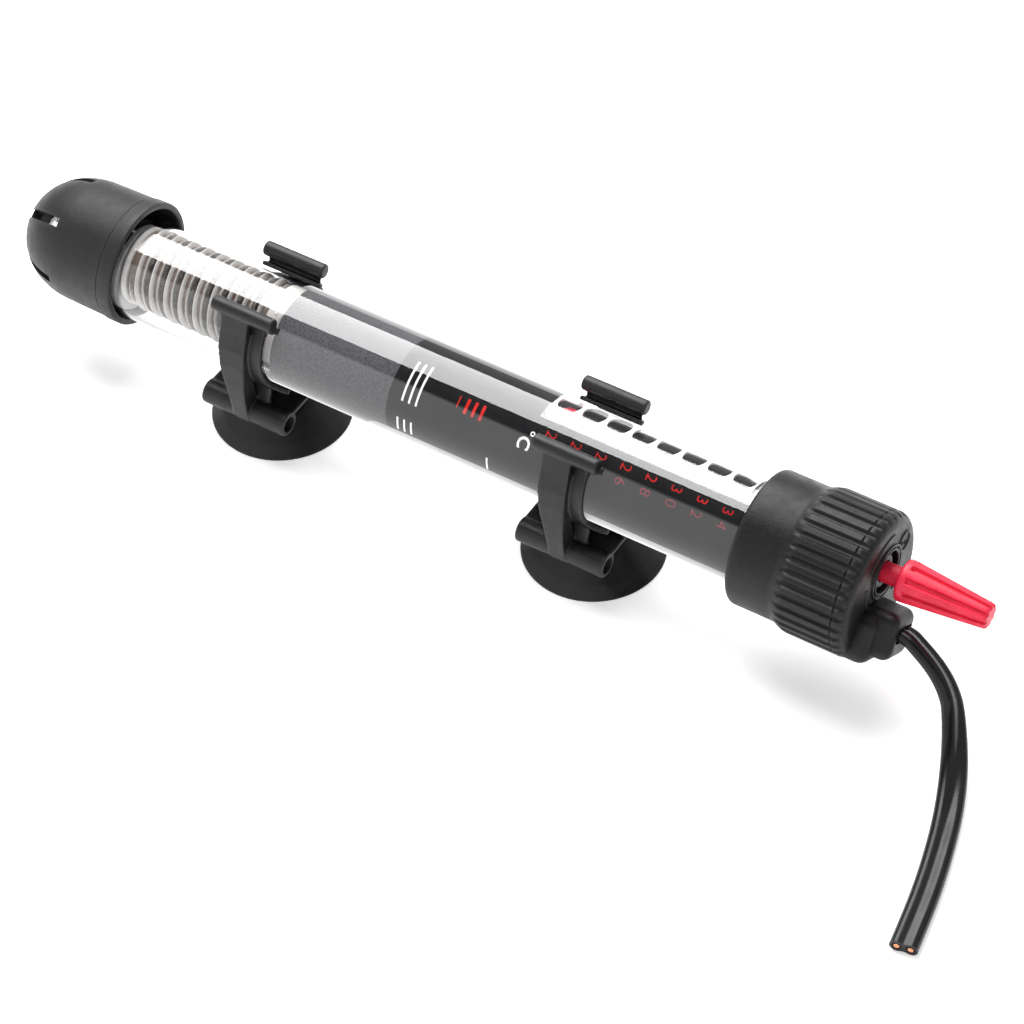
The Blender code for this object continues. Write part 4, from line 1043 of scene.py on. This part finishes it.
def element_lead():
    """The lead comes off the core's end, loops out and dips back through the mica disc."""
    path = []
    for i in range(9):
        y, z = polar(10.6 + 0.35 * math.sin(math.pi * i / 8.0), 118.0 - 92.0 * i / 8.0)
        path.append((85.2 + 3.6 * math.sin(math.pi * 0.5 * i / 8.0), 0.55 + y, 0.42 + z))
    path += [(89.1, 8.3, 4.6), (89.4, 6.9, 4.1), (90.6, 6.5, 4.0), (96.0, 6.5, 4.0),
             (104.0, 6.0, 3.6), (118.0, 1.5, 1.5), (122.6, *polar(2.6, SPINDLE_ANGLE))]
    add_piece("lead_loop", tube_along(catmull(path, 5), 0.62, 10), "lead", None,
              ("lead_wire_element",))


# ------------------------------------------------------------ head
HEAD_X0, HEAD_X1 = 227.1, 261.3
COLLAR_R, BARREL_R, HEAD_BORE_R = 18.1, 19.4, 13.9
COLLAR_ROUND, BARREL_ROUND = 1.3, 3.2  # edge radii
RIBS, RIB_COLUMNS = 36, 14
# The line round the barrel: (x, depth, groove share)
BARREL_LINE = [(257.25, 0.0, 1.0), (257.35, 0.22, 0.75), (257.55, 0.34, 0.62),
               (257.75, 0.22, 0.75), (257.88, 0.02, 0.9), (258.1, 0.0, 0.9)]
# Raised rings and the spindle's opening: (x from the head's end face, r)
SPINDLE_OPENING = [(0.0, 7.75), (0.05, 7.6), (0.38, 7.5), (0.45, 7.3), (0.42, 7.05), (0.1, 6.9),
                   (-0.05, 6.75), (-0.02, 6.5), (0.3, 6.4), (0.42, 6.2), (0.40, 5.9),
                   (0.22, 5.74), (-0.1, 5.70), (-0.8, 5.70), (-1.25, 5.66), (-1.4, 5.45),
                   (-1.4, 4.75), (-1.5, 4.6)]
# Raised arcs on the end face: name, centre y, z, radius, angles, half thickness, steps
FACE_MARKS = [("face_ring_mark", 11.3, 6.5, 2.75, 0.0, 352.0, 0.34, 28),
              ("face_bar_mark", 11.3, 6.5, 1.1, 150.0, 330.0, 0.28, 14),
              ("face_arc_a", SPINDLE_Y, SPINDLE_Z, 10.6, 70.0, 140.0, 0.34, 28),
              ("face_arc_b", SPINDLE_Y, SPINDLE_Z, 10.4, 165.0, 205.0, 0.34, 28),
              ("face_arc_c", SPINDLE_Y, SPINDLE_Z, 10.1, -70.0, -40.0, 0.30, 28)]


def cord_slot(x0, x1, steps):
    """Cutter for the cord's passage."""
    return box((x0, x1), (-10.8, -6.4), (-3.95, 3.95), SPINDLE_ANGLE, bevel=0.9, steps=steps)


def head():
    rows = []

    def row(x, r, groove=0.0, centred=0.0):
        """groove: share of the grooves' depth; centred: 0 on the tube's axis, 1 on the spindle's."""
        rows.append((x, r, groove, centred))

    for r in (HEAD_BORE_R, 15.0, 16.6):
        row(HEAD_X0, r)
    for i in range(1, 8):
        c, s = polar(COLLAR_ROUND, 90.0 * i / 7)
        row(HEAD_X0 + COLLAR_ROUND - c, COLLAR_R - COLLAR_ROUND + s)
    for x in (229.5, 231.0, 233.0, 235.0, 237.0, 238.4, 239.2):
        row(x, COLLAR_R)
    for i in range(1, 16):
        t = i / 15.0
        row(239.2 + 4.6 * t, COLLAR_R + (BARREL_R - COLLAR_R) * smoothstep(0.0, 1.0, t),
            smoothstep(0.30, 1.0, t) ** 1.2)
    for x in (245.0, 247.0, 249.0, 251.0, 253.0, 255.0, 256.4, 257.05):
        row(x, BARREL_R, 1.0)
    for x, depth, groove in BARREL_LINE:
        row(x, BARREL_R - depth, groove)
    face_r = BARREL_R - BARREL_ROUND
    for i in range(13):
        c, s = polar(BARREL_ROUND, 90.0 * i / 12)
        x = HEAD_X1 - BARREL_ROUND + s
        row(x, face_r + c, 0.9 * (1.0 - smoothstep(258.6, 260.9, x)))
    # flat face, easing from the barrel's centre to the spindle's
    for t in (0.12, 0.3, 0.5, 0.7, 0.85, 1.0):
        row(HEAD_X1, face_r + (8.1 - face_r) * t, 0.0, t)
    for x, r in SPINDLE_OPENING:
        row(HEAD_X1 + x, r, 0.0, 1.0)
    for x, r in ((256.0, 4.6), (251.5, 4.6), (251.5, 3.2), (247.5, 3.2)):
        row(x, r, 0.0, 1.0)
    for t in (0.6, 0.3, 0.0):
        row(247.5, 3.2 + (HEAD_BORE_R - 3.2) * (1.0 - t), 0.0, t)
    for x, r in ((240.0, HEAD_BORE_R), (234.4, HEAD_BORE_R), (234.4, 15.35), (232.0, 15.35),
                 (232.0, HEAD_BORE_R)):
        row(x, r)

    n = RIBS * RIB_COLUMNS
    verts = []
    for x, r, groove, centred in rows:
        for j in range(n):
            # 0 in a groove's middle, 0.5 on a rib's crown
            s = abs(((j % RIB_COLUMNS) / RIB_COLUMNS + 0.5) % 1.0 - 0.5)
            cut_r = r - 0.80 * groove * (1.0 - smoothstep(0.10, 0.29, s))
            a = 2 * math.pi * (j + 0.5 * RIB_COLUMNS) / n
            verts.append((x, SPINDLE_Y * centred + cut_r * math.cos(a),
                          SPINDLE_Z * centred + cut_r * math.sin(a)))
    shell = temp_object((verts, grid_faces(len(rows), n, wrap_rows=True)))
    add_mesh("head_shell", carved(shell, [cord_slot(245.0, 274.0, 3)]), "head", 40.0,
             ("head_cap",), recalc=False)


def cord_boot():
    """A broad lump on the barrel and a narrower one beyond it, with the cord's mouth."""
    broad = box((250.3, 266.2), (-18.1, -4.9), (-9.1, 9.1), SPINDLE_ANGLE, bevel=3.4, steps=6)
    narrow = box((252.4, 270.5), (-15.75, -3.2), (-6.4, 6.4), SPINDLE_ANGLE, bevel=2.7, steps=6)
    clearance = lathe([(4.55, 240.0), (4.55, 275.0)], 64, SPINDLE_Y, SPINDLE_Z)
    boot = soft_union([broad, narrow], voxel=0.3, smoothing=5,
                      holes=[cord_slot(240.0, 276.0, 4), clearance])
    add_mesh("cord_boot", boot, "head", 50.0, slot="head_cap", recalc=False)


def face_marks():
    for name, centre_y, centre_z, r, a0, a1, thickness, steps in FACE_MARKS:
        points = [(HEAD_X1, centre_y + y, centre_z + z) for y, z in arc(r, a0, a1, steps)]
        add_piece(name, tube_along(points, thickness, 8), "head", 60.0, slot="head_cap")


# ------------------------------------------------------------ knob
KNOB_R0, KNOB_R1, KNOB_GROOVES = 5.6, 3.35, 9
KNOB_TAPER_X0, KNOB_TAPER_X1 = 267.5, 289.0
KNOB_X1 = 290.0
KNOB_BORE_END = 257.0                  # the bore takes the spindle's end
GROOVE_COLUMNS = [0.0, 0.34, 0.62, 0.80, 0.92, 1.0, 1.10, 1.22]  # in groove half widths
LAND_COLUMNS = 9                       # between two grooves
# Stem and flange: (x, r)
KNOB_STEM = [(249.4, 1.5), (249.4, 2.45), (249.6, 2.7), (252.0, 2.7), (256.0, 2.7), (260.0, 2.7),
             (263.0, 2.7), (265.0, 2.7), (266.3, 2.7), (266.55, 2.78), (266.7, 3.0),
             (266.7, 4.6), (266.75, 4.95), (266.9, 5.25), (267.15, 5.45), (267.5, 5.55),
             (268.2, 5.50)]
# End: (x, r, groove share)
KNOB_END = [(289.0, KNOB_R1 + 0.06, 1.0), (289.45, KNOB_R1 - 0.02, 1.0),
            (289.75, KNOB_R1 - 0.20, 0.9), (289.93, KNOB_R1 - 0.50, 0.75),
            (KNOB_X1, KNOB_R1 - 0.85, 0.5), (KNOB_X1, 1.9, 0.15), (KNOB_X1, 1.0, 0.0),
            (KNOB_X1, 0.3, 0.0)]


def knob():
    rows = [(x, r, 0.0) for x, r in KNOB_STEM]
    grip = [268.6, 268.75, 268.9, 269.05, 269.2, 269.4, 269.8, 270.6]
    grip += [271.6 + 1.45 * i for i in range(12)]
    for x in grip:
        t = (x - KNOB_TAPER_X0) / (KNOB_TAPER_X1 - KNOB_TAPER_X0)
        rows.append((x, KNOB_R0 + (KNOB_R1 + 0.06 - KNOB_R0) * t, smoothstep(268.7, 269.4, x)))
    rows += KNOB_END
    verts = []
    for x, r, groove in rows:
        t = max(0.0, min(1.0, (x - 268.0) / 22.0))
        half = min((0.92 - 0.34 * t) / max(r, 2.2), 0.30)
        # (angle from a groove's middle, the same in groove half widths)
        columns = [(-k * half, k) for k in GROOVE_COLUMNS[::-1]]
        columns += [(k * half, k) for k in GROOVE_COLUMNS[1:]]
        edge = GROOVE_COLUMNS[-1] * half
        land = 2 * math.pi / KNOB_GROOVES - 2 * edge
        # any value well outside a groove will do for the land
        columns += [(edge + land * k / (LAND_COLUMNS + 1.0), 9.0)
                    for k in range(1, LAND_COLUMNS + 1)]
        # the flange sits a little lower in X, easing out towards the end
        pull = 0.75 * max(0.0, min(1.0, (x - 260.0) / 5.0))
        pull *= 1.0 - smoothstep(KNOB_TAPER_X0, KNOB_X1, x)
        for q in range(KNOB_GROOVES):
            middle = 2 * math.pi * (q + 0.25) / KNOB_GROOVES
            for a, k in columns:
                depth = 1.02 * (1.0 - 0.35 * t) * groove * (1.0 - smoothstep(0.72, 1.06, k))
                verts.append((x - pull, SPINDLE_Y + (r - depth) * math.cos(middle + a),
                              SPINDLE_Z + (r - depth) * math.sin(middle + a)))
    n = KNOB_GROOVES * (2 * len(GROOVE_COLUMNS) - 1 + LAND_COLUMNS)
    faces = grid_faces(len(rows), n) + end_caps(len(rows), n)[1:]
    bore = len(verts)
    verts += [(KNOB_BORE_END, y, z) for x, y, z in verts[:n]]
    faces += [(k, (k + 1) % n, bore + (k + 1) % n, bore + k) for k in range(n)]
    faces.append(tuple(range(bore, bore + n)))
    add_piece("knob_skin", (verts, faces), "red", 42.0, ("adjusting_knob",), body="adjuster")


# ------------------------------------------------------------ cord
CORD_EXIT_X = 270.5                    # up to here the cord runs straight along X
CORD_PATH = [(249.2, CORD_Y, CORD_Z), (263.5, CORD_Y, CORD_Z),
             (CORD_EXIT_X + 0.6, CORD_Y, CORD_Z), (275.2, -5.6, -8.2), (281.3, -7.4, -11.2),
             (285.6, -9.0, -15.5), (288.7, -11.8, -19.7), (293.5, -19.8, -25.6),
             (298.1, -30.7, -28.9), (302.2, -44.0, -29.55), (305.5, -57.7, -29.6),
             (308.3, -73.1, -29.6)]
CORD_W, CORD_EDGE_R, CORD_VALLEY = 7.2, 1.85, 0.42
WIRE_BORE_R, WIRE_OFFSET = 1.12, 1.75


def cord_stations():
    """(point, side, up) along the cord, which twists to lie flat on the floor."""
    head_side = Vector((0.0, *polar(1.0, SPINDLE_ANGLE + 90.0)))
    points = catmull(CORD_PATH, 10)
    n = len(points)
    length = 0.0
    stations = []
    for i, point in enumerate(points):
        if i:
            length += (point - points[i - 1]).length
        tangent = (points[min(i + 1, n - 1)] - points[max(i - 1, 0)]).normalized()
        if point.x <= CORD_EXIT_X + 0.01:
            tangent = Vector((1.0, 0.0, 0.0))
        twist = smoothstep(0.0, 1.0, (length - 24.0) / 62.0)
        flat = Vector((0.0, 0.0, 1.0)).cross(tangent)
        if flat.dot(head_side) < 0:
            flat = -flat
        side = head_side * (1.0 - twist) + flat.normalized() * twist
        side = (side - tangent * side.dot(tangent)).normalized()
        stations.append((point, side, tangent.cross(side).normalized()))
    return stations


def sweep(path, section):
    n = len(section)
    verts = [point + side * a + up * b for point, side, up in path for a, b in section]
    caps = [cap[::-1] for cap in end_caps(len(path), n)]
    return verts, grid_faces(len(path), n) + caps


def cord_section():
    """A flat twin-core outline, with a shallow valley on both broad sides."""
    centre = 0.5 * CORD_W - CORD_EDGE_R
    half = [(centre + a, b) for a, b in arc(CORD_EDGE_R, -90.0, 90.0, 18)]
    half += [(centre * t, CORD_EDGE_R - CORD_VALLEY * (0.5 + 0.5 * math.cos(math.pi * t)))
             for t in (0.66, 0.33, 0.0, -0.33, -0.66)]
    return half + [(-a, -b) for a, b in half]


def cord():
    stations = cord_stations()
    start, start_side, start_up = stations[0]
    end, end_side, end_up = stations[-1]
    onward = (end - stations[-2][0]).normalized()
    # the bores run a little past both ends of the sheath
    bore_path = [(start - Vector((2.0, 0, 0)), start_side, start_up)] + stations[1:-1:2]
    bore_path.append((end + onward * 1.0, end_side, end_up))
    bores = []
    for sign in (-1, 1):
        angles = [2 * math.pi * i / 14 for i in range(14)]
        section = [(sign * WIRE_OFFSET + WIRE_BORE_R * math.cos(a), WIRE_BORE_R * math.sin(a))
                   for a in angles]
        bores.append(sweep(bore_path, section))
    sheath = temp_object(sweep(stations, cord_section()))
    add_mesh("cord_sheath", carved(sheath, bores), "cord", 45.0, ("power_cord",), recalc=False)


# ------------------------------------------------------------ clip brackets and cups
# Each bracket is mirrored in Y: bars above, rolls below, and a plate between the rolls.
CLIPS = (("front", 80.5), ("rear", 178.5))
BAR_Y, BAR_Z, BAR_R, BAR_HALF = 11.9, 14.25, 2.05, 9.4
ROLL_Y, ROLL_Z, ROLL_R, ROLL_BORE_R, ROLL_HALF = 14.2, -17.95, 3.45, 2.3, 12.95
BAND_R, BAND_THICK, BAND_HALF, BAND_ANGLE = 13.95, 1.45, 6.1, 41.0
RIB_HALF = 2.3
PLATE_Z0, PLATE_Z1 = -16.6, -15.2
CUP_R = 19.15
RIB_OUTLINE = [(BAR_Y + 0.2, BAR_Z), (BAR_Y + 1.95, BAR_Z - 0.6), (15.4, 8.6), (17.0, 4.0),
               (17.9, -1.0), (18.35, -6.5), (18.4, -12.0), (ROLL_Y + ROLL_R + 0.35, ROLL_Z + 1.0),
               (ROLL_Y + ROLL_R + 0.1, ROLL_Z - 1.0), (ROLL_Y + 2.5, ROLL_Z - 2.9),
               (ROLL_Y, ROLL_Z - 2.6), (ROLL_Y - 1.0, ROLL_Z + 2.8), (13.4, -10.0),
               (14.75, -3.0), (14.75, 3.0), (13.5, 7.0)]
# (r, z) from the button above the plate, round the skirt's rim, to the hollow's middle
CUP_PROFILE = [(0.05, PLATE_Z1 + 0.95), (3.6, PLATE_Z1 + 0.95), (4.6, PLATE_Z1 + 0.7),
               (4.7, PLATE_Z1 + 0.35), (3.5, PLATE_Z1 + 0.35), (3.5, PLATE_Z0 - 0.35),
               (6.0, PLATE_Z0 - 0.45), (6.6, -20.6), (11.0, -23.6), (16.4, -28.4),
               (18.6, -30.6), (CUP_R, CUP_Z + 0.35), (CUP_R - 0.1, CUP_Z), (CUP_R - 1.5, CUP_Z),
               (15.6, -30.0), (10.0, -26.4), (4.5, -24.1), (0.05, -23.6)]


def rounded_rod(x0, x1, r, y, z, segments, edge):
    profile = [(0.2, x0), (r - edge, x0), (r - 0.3 * edge, x0 + 0.3 * edge), (r, x0 + edge),
               (r, x1 - edge), (r - 0.3 * edge, x1 - 0.3 * edge), (r - edge, x1), (0.2, x1)]
    return lathe(profile, segments, y, z)


def band_foot(centre, sign):
    """The foot of the band, which flares along the roll towards +X."""
    verts, steps = [], 20
    outer_r = BAND_R + BAND_THICK
    for i in range(steps + 1):
        degrees = -50.0 + 46.0 * i / steps
        flare = BAND_HALF + 4.6 * (1.0 - smoothstep(-50.0, -12.0, degrees)) ** 1.6
        for r, x in ((BAND_R, centre - BAND_HALF), (outer_r, centre - BAND_HALF),
                     (outer_r, centre + flare), (BAND_R, centre + flare)):
            y, z = polar(r, degrees)
            verts.append((x, sign * y, z))
    return verts, grid_faces(steps + 1, 4) + end_caps(steps + 1, 4)


def bracket(side, centre):
    shells = [box((centre - ROLL_HALF, centre + ROLL_HALF), (-ROLL_Y, ROLL_Y),
                  (PLATE_Z0, PLATE_Z1), 0.0, bevel=0.3, steps=2)]
    holes = []
    edge_y, edge_z = polar(BAND_R, BAND_ANGLE)
    band = arc(BAND_R, -BAND_ANGLE, BAND_ANGLE, 36)
    band += [(edge_y - 0.05, edge_z + 1.5), (BAR_Y - 0.7, BAR_Z),
             (BAR_Y + 0.9, BAR_Z), (BAR_Y + 0.6, BAR_Z - 2.6)]
    band += arc(BAND_R + BAND_THICK, BAND_ANGLE - 1.0, -BAND_ANGLE, 36)
    band += [(ROLL_Y - 0.6, ROLL_Z + 2.0), (ROLL_Y - 2.2, ROLL_Z + 2.0)]
    lip_y, lip_z = polar(BAND_R, 38.0)
    lip = [(lip_y, lip_z + 0.1), (BAR_Y - 0.9, BAR_Z), (BAR_Y + 0.9, BAR_Z), polar(15.2, 43.0)]
    flange = arc(BAND_R, 43.5, 51.0, 8) + arc(BAND_R + 1.15, 51.0, 43.5, 8)
    for sign in (-1, 1):
        def extruded(outline, half_length):
            return prism([(sign * y, z) for y, z in outline],
                         centre - half_length, centre + half_length)

        shells += [extruded(band, BAND_HALF), band_foot(centre, sign)]
        # the rib is broad at the bar, where it widens towards -X, and narrows to the roll
        verts, faces = extruded(RIB_OUTLINE, RIB_HALF)
        n = len(RIB_OUTLINE)
        verts = [(x - (3.6 * smoothstep(-15.0, 4.0, z) if k < n else 0.0), y, z)
                 for k, (x, y, z) in enumerate(verts)]
        shells += [
            (verts, faces), extruded(lip, 8.2), extruded(flange, 9.2),
            rounded_rod(centre - ROLL_HALF, centre + ROLL_HALF, ROLL_R, sign * ROLL_Y, ROLL_Z,
                        segments=56, edge=0.4),
            rounded_rod(centre - BAR_HALF, centre + BAR_HALF, BAR_R, sign * BAR_Y, BAR_Z,
                        segments=40, edge=0.5)]
        holes.append(lathe([(ROLL_BORE_R, centre - ROLL_HALF - 1),
                            (ROLL_BORE_R, centre + ROLL_HALF + 1)], 40, sign * ROLL_Y, ROLL_Z))
    holes.append(stand_up(lathe([(3.9, -20.0), (3.9, -12.0)], 48), centre))
    add_mesh("clip_%s_skin" % side, soft_union(shells, voxel=0.27, smoothing=4, holes=holes),
             "clip", 48.0, ("clip_bracket_" + side,), body="clip_" + side, recalc=False)


def suction_cup(side, centre):
    rounded = fillet(CUP_PROFILE, radius=1.6, steps=6)
    # finer rows keep the skirt an even mesh
    profile = []
    for a, b in zip(rounded, rounded[1:]):
        n = max(1, int(math.hypot(b[0] - a[0], b[1] - a[1]) / 0.45))
        profile += [(a[0] + (b[0] - a[0]) * i / n, a[1] + (b[1] - a[1]) * i / n)
                    for i in range(n)]
    profile.append(rounded[-1])
    add_piece("cup_%s_skin" % side, stand_up(lathe(profile, 112), centre), "cup", 50.0,
              ("suction_cup_" + side,), body="cup_" + side)


# ------------------------------------------------------------ floor, light, camera (metres)
# The studio's brightness: (angle about X in degrees, brightness)
STUDIO = [(0.0, 0.45), (28.0, 0.40), (36.0, 0.7), (94.0, 0.7), (97.0, 0.03), (126.0, 0.03),
          (132.0, 1.2), (180.0, 1.2)]
BACKDROP = (0.98, 0.98, 0.98)


def floor():
    half, z = 3.0, CUP_Z * UNIT
    corners = [(-half, -half, z), (half, -half, z), (half, half, z), (-half, half, z)]
    me = mesh("floor", (corners, [(0, 1, 2, 3)]))
    ob = bpy.data.objects.new("floor", me)
    bpy.context.scene.collection.objects.link(ob)
    look = Look("look_floor")
    me.materials.append(look.finish(
        Base_Color=look.mottle((0.90, 0.90, 0.90), (0.93, 0.93, 0.93), scale=6.0),
        Roughness=0.6,
        Normal=look.bump(look.noise(scale=300.0), strength=0.1, depth=0.0002),
        Emission_Color=(1.0, 1.0, 1.0), Emission_Strength=0.42))


def studio_world():
    """Soft panels light the heater and show in its glass; the camera sees a plain backdrop."""
    world = bpy.data.worlds.new("studio")
    bpy.context.scene.world = world
    world.use_nodes = True
    tree = Tree(world.node_tree, "Generated")
    panels = tree.ramp(tree.turn(tree.split(tree.coords)), half_turns(STUDIO))
    to_camera = tree.node("LightPath").outputs["Is Camera Ray"]
    background = world.node_tree.nodes["Background"]
    tree.feed(tree.mix(to_camera, panels, BACKDROP), background.inputs["Color"])
    background.inputs["Strength"].default_value = 1.0


def key_light():
    """A rectangular lamp above the tube, aimed square at the tube's axis."""
    lamp = bpy.data.lights.new("key", 'AREA')
    lamp.shape = 'RECTANGLE'
    lamp.size = 0.72                   # along X
    lamp.size_y = 0.95
    lamp.energy = 17.5
    ob = bpy.data.objects.new("key", lamp)
    y, z = polar(0.8, 65.0)
    ob.location = (-0.20, y, z)
    back = Vector((0.0, y, z)).normalized()     # the lamp shines along its own -Z
    right = Vector((1.0, 0.0, 0.0))
    ob.rotation_euler = Matrix((right, back.cross(right), back)).transposed().to_euler()
    bpy.context.scene.collection.objects.link(ob)


def camera():
    data = bpy.data.cameras.new("camera")
    data.lens = 133.39
    data.sensor_width = 36.0
    data.clip_start, data.clip_end = 0.01, 20.0
    ob = bpy.data.objects.new("camera", data)
    bpy.context.scene.collection.objects.link(ob)
    right = Vector((0.84556, 0.53304, -0.02997))
    up = Vector((-0.37390, 0.63132, 0.67944))
    back = Vector((0.38109, -0.56330, 0.73312))
    place = Matrix((right, up, back)).transposed().to_4x4()
    place.translation = Vector((0.534158, -0.564681, 0.702684))
    ob.matrix_world = place
    bpy.context.scene.camera = ob
    bpy.context.scene.view_settings.view_transform = 'Standard'


# ------------------------------------------------------------ build
dress_kept_nodes()
guard()
glass_tube()
films()
scale_strip()
printing()
underside_label()
ceramic_core()
heating_coil()
element_lead()
head()
cord_boot()
face_marks()
knob()
cord()
for clip_side, clip_x in CLIPS:
    bracket(clip_side, clip_x)
    suction_cup(clip_side, clip_x)
floor()
studio_world()
key_light()
camera()
